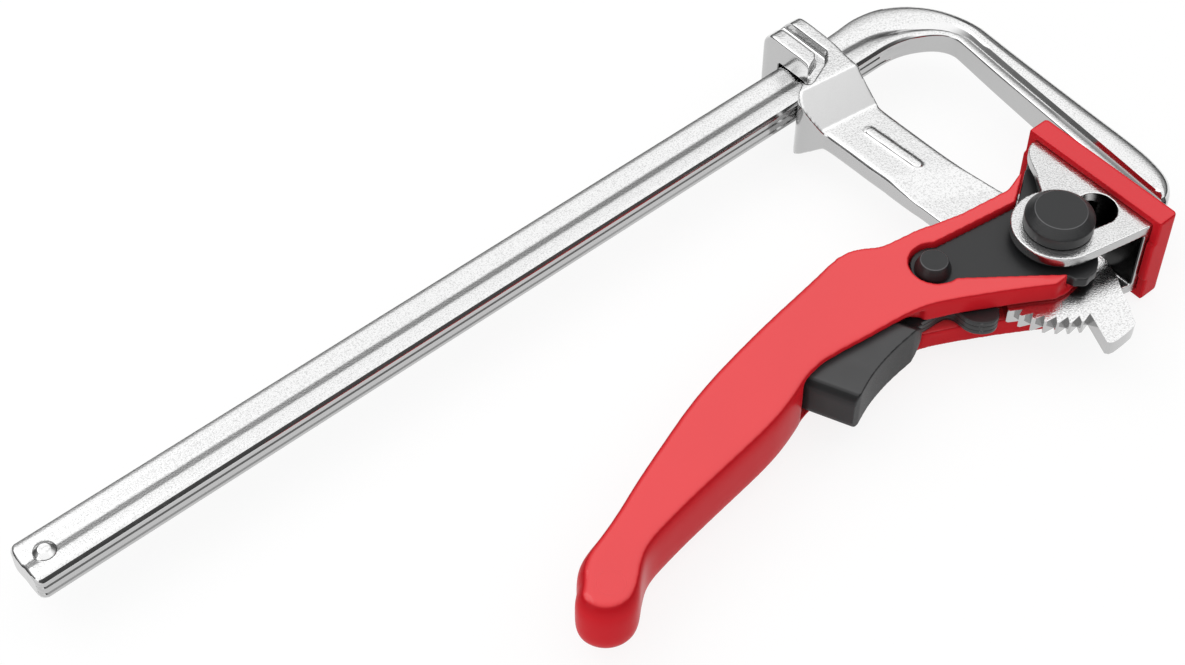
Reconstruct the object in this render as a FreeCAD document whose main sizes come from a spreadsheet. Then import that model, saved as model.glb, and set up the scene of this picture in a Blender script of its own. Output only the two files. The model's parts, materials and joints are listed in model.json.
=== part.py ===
import FreeCAD, Part
import math
import os
import Sketcher

# Quick release bar clamp, lying flat, in millimetres.
# The origin is on the face that the moving pad presses with, straight out from the pivot pin.
# +X runs from the bar's free end to the fixed jaw, +Y from the pad to the bar, +Z up.
# Every outline is drawn about the axis of the pivot pin, which lies pad_reach behind the origin.

# Each row is one driving dimension: its name, its value and what it measures.
SIZES = [
    ("throat_depth", 60.0, "bar's throat edge to the tip of the fixed jaw"),
    ("pin_to_bar", 54.4, "pivot pin axis to the bar's throat edge"),
    ("bar_width", 9.5, "section of the bar in the plane of the clamp"),
    ("bar_thick", 5.5, "section of the bar across the plane of the clamp"),
    ("bar_back", 171.0, "pivot pin axis to the bar's free end"),
    ("bar_end_chamfer", 1.0, "chamfer round the free end"),
    ("bar_groove_width", 4.5, "shallow groove along each wide face"),
    ("bar_groove_deep", 0.35, "depth of that groove"),
    ("jaw_tip_thick", 7.5, "fixed jaw at its tip, across the plane"),
    ("jaw_top_inset", 25.7, "pivot pin axis to the jaw's face under the bend"),
    ("jaw_tip_inset", 20.1, "pivot pin axis to the jaw's face at its tip"),
    ("jaw_groove_width", 1.3, "guide groove along the jaw's face"),
    ("jaw_groove_deep", 1.2, "depth of the guide groove"),
    ("jaw_rim", 1.6, "rib between the jaw's face and its groove"),
    ("stop_from_end", 4.1, "stop rivet's axis to the free end"),
    ("stop_shank_radius", 1.2, "stop rivet's shank"),
    ("stop_head_radius", 2.0, "stop rivet's head"),
    ("stop_head_high", 0.8, "height of the stop rivet's head"),
    ("slide_gap", 0.3, "play between sleeve and bar, each side"),
    ("sleeve_thick", 16.0, "sleeve across the plane of the clamp"),
    ("far_wall", 5.0, "sleeve wall beyond the bar"),
    ("strap_groove_width", 1.7, "groove between the two ridges on the sleeve"),
    ("strap_groove_deep", 1.2, "depth of that groove"),
    ("arm_thick", 7.6, "sliding arm across the plane"),
    ("arm_reach", 10.5, "half of the arm's width, the unit of its outline"),
    ("arm_rib_high", 0.7, "raised rib on the arm"),
    ("tooth_plate_thick", 3.0, "thin end of the arm with the teeth"),
    ("boss_radius", 7.0, "boss round the pin"),
    ("boss_thick", 5.4, "boss across the plane"),
    ("tooth_radius", 16.0, "pin axis to the tips of the teeth"),
    ("tooth_deep", 1.7, "depth of the teeth"),
    ("hook_radius", 22.4, "pin axis to the corner of the hook"),
    ("pin_radius", 3.4, "pivot pin's shank"),
    ("pin_head_radius", 6.1, "pivot pin's head"),
    ("pin_head_high", 3.6, "height of the pin's head"),
    ("pin_face_radius", 4.5, "flat on top of the pin's head"),
    ("pin_tail_radius", 4.6, "formed end of the pin"),
    ("pin_tail_high", 1.3, "height of the formed end"),
    ("washer_radius", 5.6, "washer under the formed end"),
    ("washer_thick", 0.8, "its thickness"),
    ("spacer_radius", 5.2, "washers between plates and ears"),
    ("run_gap", 0.05, "radial play of a pin in its hole"),
    ("plate_gap", 0.1, "play between flat plates that turn on each other"),
    ("plate_thick", 2.0, "each cam plate"),
    ("lever_reach", 23.0, "pivot pin axis to the handle rivet, the unit of the fork's outlines"),
    ("ear_gap", 1.5, "room between cam plate and bracket ear"),
    ("ear_thick", 2.1, "bracket's sheet at the ears"),
    ("ear_radius", 8.1, "round end of the ears"),
    ("ear_slot_radius", 3.65, "half of the width of the ears' slot"),
    ("ear_slot_travel", 8.0, "length of the slot between its arcs' centres"),
    ("web_thick", 1.7, "bracket's web"),
    ("pad_reach", 16.5, "pivot pin axis to the pad's pressing face"),
    ("pad_plate", 4.0, "pad cap's front plate"),
    ("pad_top", 17.9, "pin axis to the cap's end towards the bar"),
    ("pad_low", 12.3, "pin axis to the cap's other end"),
    ("pad_high", 19.6, "cap across the plane of the clamp"),
    ("pad_wall", 1.3, "cap's end and side walls"),
    ("pad_lip", 1.0, "how far the walls wrap back over the web"),
    ("pad_step_high", 9.0, "middle part of the end walls, across the plane"),
    ("handle_thick", 12.0, "handle across the plane of the clamp"),
    ("handle_gap", 3.5, "slot between the handle's prongs"),
    ("handle_floor", 1.0, "handle's web under each cam plate"),
    ("window_gap", 0.25, "play of the cam plates in the handle's windows"),
    ("grip_length", 87.0, "handle rivet to the end of the grip, the unit of the grip's outline"),
    ("rivet_radius", 2.0, "handle rivet's shank"),
    ("rivet_head_radius", 3.2, "its head at the plate"),
    ("rivet_face_radius", 2.4, "its head on top"),
    ("rivet_head_high", 2.6, "height of its head"),
    ("pawl_thick", 1.0, "each pawl plate"),
    ("pawl_eye", 4.1, "radius of the pawl's eye round the rivet"),
    ("trigger_length", 25.0, "trigger from end to end, the unit of its outline"),
    ("trigger_thick", 8.6, "trigger across the plane"),
    ("trigger_gap", 0.3, "play of the trigger in the handle, each side"),
    ("trigger_pin_radius", 0.8, "pins that hold the trigger on the pawl"),
    ("spring_radius", 1.4, "trigger spring, to the middle of its wire"),
    ("spring_wire", 0.5, "diameter of the spring's wire"),
    ("spring_length", 10.2, "trigger spring at rest"),
    ("spring_pitch", 1.45, "trigger spring, from turn to turn"),
    ("spring_seat", 0.15, "play at the spring's ends and sides"),
    ("spring_back", 25.0, "handle rivet to the spring's axis"),
    ("spring_low", 3.4, "handle rivet down to the spring's lower end"),
    ("cut_over", 2.0, "overrun of the cuts"),
]

doc = FreeCAD.newDocument("bar_clamp")
sheet = doc.addObject("Spreadsheet::Sheet", "Sizes")
for row, (alias, value, words) in enumerate(SIZES, start=1):
    sheet.set(f"A{row}", alias)
    sheet.set(f"B{row}", str(value))
    sheet.set(f"C{row}", words)
    sheet.setAlias(f"B{row}", alias)
doc.recompute()

parts = []


def mm(alias):
    """The value of a driving dimension, read from the sheet."""
    return float(sheet.get(alias))


def vec(x, y, z=0):
    return FreeCAD.Vector(x, y, z)


def spread(shares, unit):
    """Points from shares of one driving dimension."""
    return [tuple(share * mm(unit) for share in pair) for pair in shares]


def on_circle(radius, degrees):
    turn = math.radians(degrees)
    return (radius * math.cos(turn), radius * math.sin(turn))


def add_part(item):
    """Seat a finished sub-part in the frame and keep it for the export."""
    item.setExpression("Placement.Base.x", "-Sizes.pad_reach")
    parts.append(item)
    return item


def body_named(name):
    body = doc.addObject("PartDesign::Body", name)
    body.Label = name
    return add_part(body)


def new_sketch(body, name, plane="XY_Plane", level=None):
    """A sketch on one of the body's own planes, raised by an expression if one is given."""
    sketch = body.newObject("Sketcher::SketchObject", name)
    base = [item for item in body.Origin.OriginFeatures if item.Role == plane][0]
    sketch.AttachmentSupport = [(base, "")]
    sketch.MapMode = "FlatFace"
    if level:
        sketch.setExpression("AttachmentOffset.Base.z", level)
    return sketch


def run_end(point):
    return point[-1] if isinstance(point, list) else point[-2:]


def outline(sketch, points):
    """A closed outline. A point is (x, y), an arc's end is (through x, through y, x, y), and a
    list of points is a smooth curve that goes on from the last point."""
    edges = []
    last = run_end(points[-1])
    for point in points:
        if isinstance(point, list):
            curve = Part.BSplineCurve()
            curve.interpolate([vec(*last)] + [vec(*through) for through in point])
            edges.append(curve)
        elif len(point) == 4:
            edges.append(Part.Arc(vec(*last), vec(*point[:2]), vec(*point[2:])))
        elif point != last:
            edges.append(Part.LineSegment(vec(*last), vec(*point)))
        last = run_end(point)
    sketch.addGeometry(edges, False)


def circle(sketch, centre, radius_words):
    """A circle whose radius follows an expression."""
    index = sketch.addGeometry(Part.Circle(vec(*centre), vec(0, 0, 1), mm("pin_radius")), False)
    number = sketch.addConstraint(Sketcher.Constraint("Radius", index, mm("pin_radius")))
    sketch.setExpression(f"Constraints[{number}]", radius_words)


def pad(body, sketch, length):
    """Thicken a sketch, half to each side of its plane."""
    feature = body.newObject("PartDesign::Pad", sketch.Name + "_pad")
    feature.Profile = sketch
    feature.Midplane = True
    feature.setExpression("Length", length)
    sketch.Visibility = False
    doc.recompute()
    return feature


def cut(body, sketch, length=None, up=None):
    """Cut a sketch out: to a length about its plane, or all the way up or down from it."""
    before = body.Shape.Volume
    feature = body.newObject("PartDesign::Pocket", sketch.Name + "_cut")
    feature.Profile = sketch
    if up is None and length:
        feature.Midplane = True
        feature.setExpression("Length", length)
    elif up is None:
        feature.Type = "ThroughAll"
        feature.Midplane = True
    else:
        feature.Type = "ThroughAll"
        feature.Reversed = up
    doc.recompute()
    if not body.Shape.Volume < before:
        raise RuntimeError(f"{body.Label}: {sketch.Name} cut nothing")
    return feature


def bore_up(body, sketch, length):
    """Cut a sketch on the XZ plane towards the bar."""
    before = body.Shape.Volume
    feature = body.newObject("PartDesign::Pocket", sketch.Name + "_cut")
    feature.Profile = sketch
    feature.setExpression("Length", length)
    doc.recompute()
    if not body.Shape.Volume < before:
        raise RuntimeError(f"{body.Label}: {sketch.Name} cut nothing")


def carve_both(body, name, points, floor):
    """Cut the same outline into the upper and the lower face, down to a floor."""
    for side, up in (("up", True), ("low", False)):
        level = floor if up else f"-({floor})"
        sketch = new_sketch(body, f"{name}_{side}", level=level)
        outline(sketch, points)
        cut(body, sketch, up=up)


def turn(body, name, points):
    """A turned piece: an outline of (radius, height) pairs turned about the body's Z axis."""
    sketch = new_sketch(body, name, "XZ_Plane")
    outline(sketch, points)
    feature = body.newObject("PartDesign::Revolution", name + "_turned")
    feature.Profile = sketch
    feature.ReferenceAxis = (sketch, ["V_Axis"])
    feature.Angle = 360
    doc.recompute()
    return feature


# Heights across the plane of the clamp, from the mid-plane outwards.
PLATE_LOW = "(Sizes.boss_thick / 2 + Sizes.plate_gap)"
PLATE_TOP = f"({PLATE_LOW} + Sizes.plate_thick)"
EAR_LOW = f"({PLATE_TOP} + Sizes.ear_gap)"
EAR_TOP = f"({EAR_LOW} + Sizes.ear_thick)"
plate_low = mm("boss_thick") / 2 + mm("plate_gap")
plate_top = plate_low + mm("plate_thick")
ear_low = plate_top + mm("ear_gap")
ear_top = ear_low + mm("ear_thick")

# The bar runs along X between these two edges.
bar_in = mm("pin_to_bar")
bar_out = bar_in + mm("bar_width")
jaw_tip = bar_in - mm("throat_depth")
over = mm("cut_over")

# Where the handle rivet sits, as shares of lever_reach.
RIVET_SHARE = (-0.926, 0.378)
RIVET_BACK = f"Sizes.lever_reach * {RIVET_SHARE[0]}"
RIVET_UP = f"Sizes.lever_reach * {RIVET_SHARE[1]}"
rivet_x, rivet_y = spread([RIVET_SHARE], "lever_reach")[0]


def about_rivet(shares, unit):
    """Points about the handle rivet, from shares of one driving dimension."""
    return [(rivet_x + x, rivet_y + y) for x, y in spread(shares, unit)]


# How far below the bar the jaw's leaning face begins, as a share of throat_depth.
JAW_FACE_TOP_SHARE = 0.125


def jaw_face_x(y):
    """X of the fixed jaw's leaning face at a height y."""
    top = bar_in - JAW_FACE_TOP_SHARE * mm("throat_depth")
    slope = (mm("jaw_top_inset") - mm("jaw_tip_inset")) / (top - jaw_tip)
    return mm("jaw_tip_inset") + slope * (y - jaw_tip)


# The back of the fixed jaw, from its tip to the bend: distance behind the face and depth
# below the bar, as shares of throat_depth.
JAW_BACK_SHARES = [(0.078, 1.0), (0.118, 0.953), (0.137, 0.895), (0.143, 0.793), (0.131, 0.557),
                   (0.118, 0.31), (0.105, 0.148)]


def make_rail():
    """Bar, bend and fixed jaw: one forging, flat bar drawn out into a grooved jaw."""
    depth = mm("throat_depth")
    face_top = bar_in - JAW_FACE_TOP_SHARE * depth
    back = [(jaw_face_x(bar_in - low * depth) + behind * depth, bar_in - low * depth)
            for behind, low in JAW_BACK_SHARES]
    width = mm("bar_width")
    bend_x = mm("jaw_top_inset")
    points = [(-mm("bar_back"), bar_out), (-mm("bar_back"), bar_in),
              (bend_x - 1.07 * width, bar_in),
              (bend_x - 0.25 * width, bar_in - 0.33 * width, bend_x, face_top),
              (mm("jaw_tip_inset"), jaw_tip)]
    points += [back[0], back[1:]]
    points.append((back[-1][0] - 0.48 * width, bar_out - 0.53 * width, bend_x - 1.23 * width, bar_out))
    body = body_named("rail")
    sketch = new_sketch(body, "rail_outline")
    outline(sketch, points)
    pad(body, sketch, "Sizes.jaw_tip_thick")
    # The jaw thickens from the bar's own thickness at the bend to jaw_tip_thick at the tip.
    half, tip_half = mm("bar_thick") / 2, mm("jaw_tip_thick") / 2
    for side, name in ((1, "upper"), (-1, "lower")):
        sketch = new_sketch(body, f"taper_{name}", "YZ_Plane")
        outline(sketch, [(bar_out + over, side * half), (face_top, side * half),
                         (jaw_tip, side * tip_half), (jaw_tip, side * (tip_half + over)),
                         (bar_out + over, side * (tip_half + over))])
        cut(body, sketch)
    base = body.Tip
    end = [f"Edge{number}" for number, edge in enumerate(base.Shape.Edges, start=1)
           if all(abs(v.X + mm("bar_back")) < mm("run_gap") for v in edge.Vertexes)]
    chamfer = body.newObject("PartDesign::Chamfer", "bar_end_chamfered")
    chamfer.Base = (base, end)
    chamfer.setExpression("Size", "Sizes.bar_end_chamfer")
    doc.recompute()
    # The shallow groove along each wide face of the bar.
    middle = (bar_in + bar_out) / 2
    reach = mm("bar_groove_width") / 2
    groove_end = bend_x - 1.23 * width
    carve_both(body, "bar_groove", [(-mm("bar_back") - over, middle - reach),
                                    (groove_end, middle - reach),
                                    (groove_end + reach, middle, groove_end, middle + reach),
                                    (-mm("bar_back") - over, middle + reach)],
               "Sizes.bar_thick / 2 - Sizes.bar_groove_deep")
    # The guide groove beside the jaw's face, on both sides.
    rim, wide = mm("jaw_rim"), mm("jaw_groove_width")
    low, high = jaw_tip + wide + rim, face_top
    carve_both(body, "jaw_groove", [(jaw_face_x(low) + rim, low), (jaw_face_x(high) + rim, high),
                                    (jaw_face_x(high) + rim + wide, high),
                                    (jaw_face_x(low) + rim + wide, low)],
               "Sizes.bar_thick / 2 - Sizes.jaw_groove_deep")
    sketch = new_sketch(body, "stop_hole")
    circle(sketch, (mm("stop_from_end") - mm("bar_back"), middle), "Sizes.stop_shank_radius")
    cut(body, sketch)


def make_stop_rivet():
    """Domed rivet that keeps the carriage on the bar."""
    body = body_named("end_stop_rivet")
    floor = mm("bar_thick") / 2 - mm("bar_groove_deep")
    top = floor + mm("stop_head_high") + mm("bar_groove_deep")
    shank, head = mm("stop_shank_radius"), mm("stop_head_radius")
    dome = head / 2
    low = floor + (top - floor) / 3
    turn(body, "stop_outline", [(0, -top), (dome, -top), (head, -low), (head, -floor),
                                (shank, -floor), (shank, floor), (head, floor), (head, low),
                                (dome, top), (0, top)])
    body.setExpression("Placement.Base.x", "-Sizes.pad_reach + Sizes.stop_from_end - Sizes.bar_back")
    body.setExpression("Placement.Base.y", "Sizes.pin_to_bar + Sizes.bar_width / 2")


# Sliding arm seen from above: across as shares of arm_reach, up as shares of pin_to_bar.
ARM_FRONT_SHARES = [(0.32, 0.975), (0.22, 0.928), (0.16, 0.888), (0.1, 0.796), (0.1, 0.44),
                    (0.37, 0.391), (0.5, 0.287), (0.55, 0.2)]
ARM_REAR_SHARES = [(-0.95, 0.2), (-0.99, 0.336), (-0.99, 0.42), (-1.09, 0.5), (-1.06, 0.65),
                   (-1.18, 0.79), (-1.1, 0.829), (-1.1, 0.932), (-0.72, 0.989)]
STRAP_REAR_SHARE = -0.4
STRAP_FRONT_SHARE = 0.33
# Half thickness of the arm seen along the bar: height as shares of pin_to_bar, half thickness
# as shares of sleeve_thick.
SLEEVE_SIDE_SHARES = [(0.96, 0.5), (0.93, 0.49), (0.888, 0.415), (0.8, 0.265)]
ARM_SLOPE_SHARES = (0.49, 0.37)
ARM_RIB_SHARES = [(-0.48, 0.73), (-0.44, 0.52)]


def make_sliding_arm():
    """Casting: sleeve round the bar, arm, boss and toothed sector with its stop hook."""
    across, up = mm("arm_reach"), mm("pin_to_bar")
    far = bar_out + mm("slide_gap") + mm("far_wall")
    front = [(x * across, y * up) for x, y in ARM_FRONT_SHARES]
    rear = [(x * across, y * up) for x, y in ARM_REAR_SHARES]
    strap_back, strap_front = STRAP_REAR_SHARE * across, STRAP_FRONT_SHARE * across
    body = body_named("sliding_arm")
    sketch = new_sketch(body, "arm_outline")
    outline(sketch, [(strap_back, far), (strap_front, far), front[0], front[1:4], front[4], front[5:],
                     rear[0], rear[1:5]] + rear[5:] + [(strap_back, bar_in + mm("slide_gap"))])
    pad(body, sketch, "Sizes.sleeve_thick")
    # Both wide faces fall from the sleeve to the arm and again to the thin toothed end.
    thick = mm("sleeve_thick")
    half, arm_half, thin_half = thick / 2, mm("arm_thick") / 2, mm("tooth_plate_thick") / 2
    slope = [(y * up, z * thick) for y, z in SLEEVE_SIDE_SHARES]
    slope += [(slope[-1][0], arm_half), (ARM_SLOPE_SHARES[0] * up, arm_half),
              (ARM_SLOPE_SHARES[1] * up, thin_half), (0, thin_half)]
    wall = mm("far_wall")
    for side, name in ((1, "upper"), (-1, "lower")):
        sketch = new_sketch(body, f"side_{name}", "YZ_Plane")
        outline(sketch, [(y, side * z) for y, z in slope]
                + [(0, side * (half + over)), (slope[0][0], side * (half + over))])
        cut(body, sketch)
        sketch = new_sketch(body, f"far_corner_{name}", "YZ_Plane")
        outline(sketch, [(far - wall * 0.6, side * half), (far, side * half / 2),
                         (far + over, side * half / 2), (far + over, side * (half + over)),
                         (far - wall * 0.6, side * (half + over))])
        cut(body, sketch)
    # The opening for the bar.
    gap = mm("slide_gap")
    sketch = new_sketch(body, "bar_opening", "YZ_Plane")
    opening = mm("bar_thick") / 2 + gap
    outline(sketch, [(bar_in - gap, -opening), (bar_out + gap, -opening),
                     (bar_out + gap, opening), (bar_in - gap, opening)])
    cut(body, sketch)
    # The groove between the two ridges on the sleeve.
    centre = strap_back + (strap_front - strap_back) * 0.36
    reach = mm("strap_groove_width") / 2
    low = bar_in + mm("bar_width") * 0.35
    carve_both(body, "strap_groove", [(centre - reach, far + over), (centre - reach, low),
                                      (centre, low - reach, centre + reach, low),
                                      (centre + reach, far + over)],
               "Sizes.sleeve_thick / 2 - Sizes.strap_groove_deep")
    # The raised rib on each face of the arm.
    (top_x, top_y), (low_x, low_y) = [(x * across, y * up) for x, y in ARM_RIB_SHARES]
    reach = mm("arm_rib_high") * 1.4
    sketch = new_sketch(body, "arm_rib")
    outline(sketch, [(top_x - reach, top_y), (low_x - reach, low_y),
                     (low_x, low_y - reach, low_x + reach, low_y), (top_x + reach, top_y),
                     (top_x, top_y + reach, top_x - reach, top_y)])
    pad(body, sketch, "Sizes.arm_thick + 2 * Sizes.arm_rib_high")
    sketch = new_sketch(body, "toothed_end")
    outline(sketch, sector_points())
    pad(body, sketch, "Sizes.tooth_plate_thick")
    sketch = new_sketch(body, "boss")
    circle(sketch, (0, 0), "Sizes.boss_radius")
    pad(body, sketch, "Sizes.boss_thick")
    sketch = new_sketch(body, "pin_hole")
    circle(sketch, (0, 0), "Sizes.pin_radius + Sizes.run_gap")
    cut(body, sketch)


TOOTH_COUNT = 6
FIRST_TOOTH_DEG = 195.0
LAST_ROOT_DEG = 247.6
HOOK_RIGHT_DEG = 267.5
# The edge of the sector from the hook back up to the arm, as shares of tooth_radius.
SECTOR_FRONT_SHARES = [(0.29, -0.69), (0.345, -0.5), (0.37, 0.0), (0.36, 0.68)]
SECTOR_REAR_SHARES = [(-0.62, 0.68), (-0.44, 0.1), (-0.86, -0.1)]


def sector_points():
    """Teeth that lean so that they hold the lever shut, then the hook that stops it."""
    tip, root = mm("tooth_radius"), mm("tooth_radius") - mm("tooth_deep")
    pitch = (LAST_ROOT_DEG - FIRST_TOOTH_DEG) / (TOOTH_COUNT + 1)
    points = []
    for number in range(TOOTH_COUNT + 1):
        start = FIRST_TOOTH_DEG + number * pitch
        points.append(on_circle(tip, start))
        points.append(on_circle(tip, start + pitch / 5))
        points.append(on_circle(root, start + pitch))
    points.append(on_circle(mm("hook_radius"), LAST_ROOT_DEG))
    points.append(on_circle(mm("hook_radius") - mm("tooth_deep"), HOOK_RIGHT_DEG))
    points += spread(SECTOR_FRONT_SHARES, "tooth_radius")
    points += spread(SECTOR_REAR_SHARES, "tooth_radius")
    return points


def make_pivot_pin():
    """Turned pin: stepped head above the front ear, formed end under the back ear."""
    body = body_named("pivot_pin")
    head, face = mm("pin_head_radius"), mm("pin_face_radius")
    seat = ear_top + mm("plate_gap")
    top = seat + mm("pin_head_high")
    shank = mm("pin_radius")
    tail = seat + mm("washer_thick")
    end = tail + mm("pin_tail_high")
    tail_radius = mm("pin_tail_radius")
    slope = mm("pin_head_high") * 0.4
    turn(body, "pin_outline", [(0, -end), (tail_radius - mm("pin_tail_high") / 2, -end),
                               (tail_radius, -tail - mm("pin_tail_high") / 2), (tail_radius, -tail),
                               (shank, -tail), (shank, seat), (head, seat), (head, top - slope),
                               (face, top), (0, top)])


def ring(name, outer, inner, thick, level):
    """A washer, bound to its sizes."""
    disc = doc.addObject("Part::Cylinder", name + "_disc")
    hole = doc.addObject("Part::Cylinder", name + "_hole")
    for item, radius in ((disc, outer), (hole, inner)):
        item.setExpression("Radius", radius)
        item.setExpression("Height", thick)
        item.setExpression("Placement.Base.z", level)
    washer = doc.addObject("Part::Cut", name)
    washer.Base = disc
    washer.Tool = hole
    return washer


def make_washers():
    bore = "Sizes.pin_radius + Sizes.run_gap"
    washer = ring("pivot_pin_washer", "Sizes.washer_radius", bore, "Sizes.washer_thick",
                  f"-{EAR_TOP} - Sizes.plate_gap - Sizes.washer_thick")
    add_part(washer)
    thick = "Sizes.ear_gap - 2 * Sizes.plate_gap"
    pair = doc.addObject("Part::Compound", "spacer_washers")
    pair.Links = [ring("spacer_front", "Sizes.spacer_radius", bore, thick,
                       f"{PLATE_TOP} + Sizes.plate_gap"),
                  ring("spacer_back", "Sizes.spacer_radius", bore, thick,
                       f"-{EAR_LOW} + Sizes.plate_gap")]
    add_part(pair)


# Bracket ear seen from above, as shares of pad_reach. The round end follows ear_radius.
EAR_TOP_SHARES = [(0.72, 0.985), (0.6, 0.955), (0.5, 0.855), (0.4, 0.68), (0.3, 0.54)]
EAR_LOW_SHARES = [(0.7, -0.645)]
SLOT_TURN_DEG = -13.0


def make_bracket():
    """Steel bent to a U: two slotted ears round the pin and a web that the cams push."""
    radius = mm("ear_radius")
    web = mm("pad_reach") - mm("pad_plate")
    start, end = 62.0, 260.0
    top = spread(EAR_TOP_SHARES, "pad_reach")
    low = spread(EAR_LOW_SHARES, "pad_reach")
    body = body_named("pressure_bracket")
    sketch = new_sketch(body, "ear_outline")
    outline(sketch, [(web, top[0][1]), top[0], top[1:] + [on_circle(radius, start)],
                     on_circle(radius, (start + end) / 2) + on_circle(radius, end)] + low
            + [(web, low[-1][1])])
    pad(body, sketch, f"2 * {EAR_TOP}")
    # The room between the ears.
    back = web - mm("web_thick")
    sketch = new_sketch(body, "between_ears")
    outline(sketch, [(-radius - over, -radius - mm("pad_low")), (back, -radius - mm("pad_low")),
                     (back, mm("pad_top") + over), (-radius - over, mm("pad_top") + over)])
    cut(body, sketch, f"2 * {EAR_LOW}")
    # The slot that lets the bracket slide on the pin.
    slot, travel = mm("ear_slot_radius"), mm("ear_slot_travel")
    far = on_circle(travel, SLOT_TURN_DEG)
    across = on_circle(slot, SLOT_TURN_DEG + 90)
    sketch = new_sketch(body, "ear_slot")
    outline(sketch, [across, tuple(-v for v in on_circle(slot, SLOT_TURN_DEG)) + (-across[0], -across[1]),
                     (far[0] - across[0], far[1] - across[1]),
                     on_circle(travel + slot, SLOT_TURN_DEG) + (far[0] + across[0], far[1] + across[1])])
    cut(body, sketch)


def make_pad_cap():
    """Moulded cap, a shallow tray pushed over the bracket's web."""
    reach, plate, wall, lip = mm("pad_reach"), mm("pad_plate"), mm("pad_wall"), mm("pad_lip")
    top, low = mm("pad_top"), -mm("pad_low")
    back = reach - plate - lip
    body = body_named("pad_cap")
    sketch = new_sketch(body, "cap_outline")
    outline(sketch, [(back, low), (reach - wall / 3, low), (reach, low + wall / 3),
                     (reach, top - wall / 3), (reach - wall / 3, top), (back, top)])
    pad(body, sketch, "Sizes.pad_high")
    # The tray takes the web and the ears' front ends.
    ear_end = EAR_TOP_SHARES[0][1] * reach
    low_end = EAR_LOW_SHARES[-1][1] * reach
    sketch = new_sketch(body, "cap_tray")
    gap = mm("plate_gap")
    outline(sketch, [(back - over, low_end - gap), (reach - plate, low_end - gap),
                     (reach - plate, ear_end + gap), (back - over, ear_end + gap)])
    cut(body, sketch, f"2 * {EAR_TOP} + 2 * Sizes.plate_gap")
    # Outside their middle part the walls stop short.
    half, step = mm("pad_high") / 2, mm("pad_step_high") / 2
    for side, name in ((1, "upper"), (-1, "lower")):
        sketch = new_sketch(body, f"cap_step_{name}", "XZ_Plane")
        outline(sketch, [(back - over, side * step), (back + lip * 0.6, side * step),
                         (back + lip * 0.6, side * (half + over)), (back - over, side * (half + over))])
        cut(body, sketch)


# Window for the cam plates, as shares of lever_reach, between its two ends.
WINDOW_TOP_SHARES = [(0.274, 0.583), (0.017, 0.422), (-0.757, 0.532)]
WINDOW_LOW_SHARES = [(-0.88, 0.19), (-0.213, -0.335)]
# Cam plate's own corners, as shares of lever_reach: the nose's top and the lobe below the pin.
CAM_TOP_SHARES = [(0.42, 0.61), (0.36, 0.63)]
CAM_LOW_SHARES = [(-0.19, -0.374), (-0.12, -0.43), (-0.005, -0.42)]
CAM_DROP_SHARE = 0.38
CAM_LIFT_DEG = 45.0
CAM_NOSE_GAP_SHARE = 0.02
PAD_TRAVEL_SHARE = 0.2


def cam_front():
    """The cam's pushing edge: it keeps pace with the web as the lever turns."""
    reach = mm("pad_reach")
    rest = reach - mm("pad_plate") - mm("web_thick") - CAM_NOSE_GAP_SHARE * reach
    lift = PAD_TRAVEL_SHARE * reach / math.radians(CAM_LIFT_DEG)
    points = []
    for step in range(4):
        angle = math.radians(CAM_LIFT_DEG) * step / 3
        reach_now = rest - lift * angle
        points.append((reach_now * math.cos(angle) + lift * math.sin(angle),
                       lift * math.cos(angle) - reach_now * math.sin(angle)))
    return points


def plate_end(gap):
    """The leftmost point of the plates' round end about the rivet, or of a window round it."""
    eye = mm("pawl_eye") + gap
    return (rivet_x - eye * 0.87, rivet_y + eye * 0.1)


def cam_points():
    """Outline of both cam plates, a little inside the handle's windows."""
    front = cam_front()
    top = spread(CAM_TOP_SHARES, "lever_reach")
    low = spread(CAM_LOW_SHARES, "lever_reach")
    gap = mm("window_gap")
    edge_top = [(x + gap, y - gap) for x, y in spread(WINDOW_TOP_SHARES[1:], "lever_reach")]
    edge_low = [(x + gap, y + gap) for x, y in spread(WINDOW_LOW_SHARES, "lever_reach")]
    flat = front[-1][0] - front[-1][1]
    drop = CAM_DROP_SHARE * mm("lever_reach")
    return ([(front[0][0], top[0][1])] + top[1:] + edge_top + [plate_end(-gap) + edge_low[0]]
            + edge_low[1:] + low + [(flat - drop, -drop)] + front[::-1])


def make_cam_plate(name, side):
    """One of the two plates that carry the handle and push the pad."""
    body = body_named(name)
    middle = f"({PLATE_LOW} + Sizes.plate_thick / 2)"
    level = middle if side > 0 else "-" + middle
    sketch = new_sketch(body, name + "_outline", level=level)
    outline(sketch, cam_points())
    pad(body, sketch, "Sizes.plate_thick")
    sketch = new_sketch(body, name + "_pin_hole")
    circle(sketch, (0, 0), "Sizes.pin_radius + Sizes.run_gap")
    cut(body, sketch)
    sketch = new_sketch(body, name + "_rivet_hole")
    circle(sketch, (rivet_x, rivet_y), "Sizes.rivet_radius + Sizes.run_gap")
    cut(body, sketch)


# Handle's fork about the pivot pin, as shares of lever_reach, from the upper prong's tip back.
FORK_TOP_SHARES = [(0.274, 0.613), (0.074, 0.552), (-0.39, 0.613), (-0.64, 0.678),
                   (-0.98, 0.748), (-1.104, 0.783), (-1.222, 0.857), (-1.34, 0.896)]
FORK_LOW_SHARES = [(-1.44, 0.175), (-1.235, 0.13), (-0.995, 0.018), (-0.578, -0.217),
                   (-0.36, -0.352), (-0.25, -0.372)]
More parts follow.
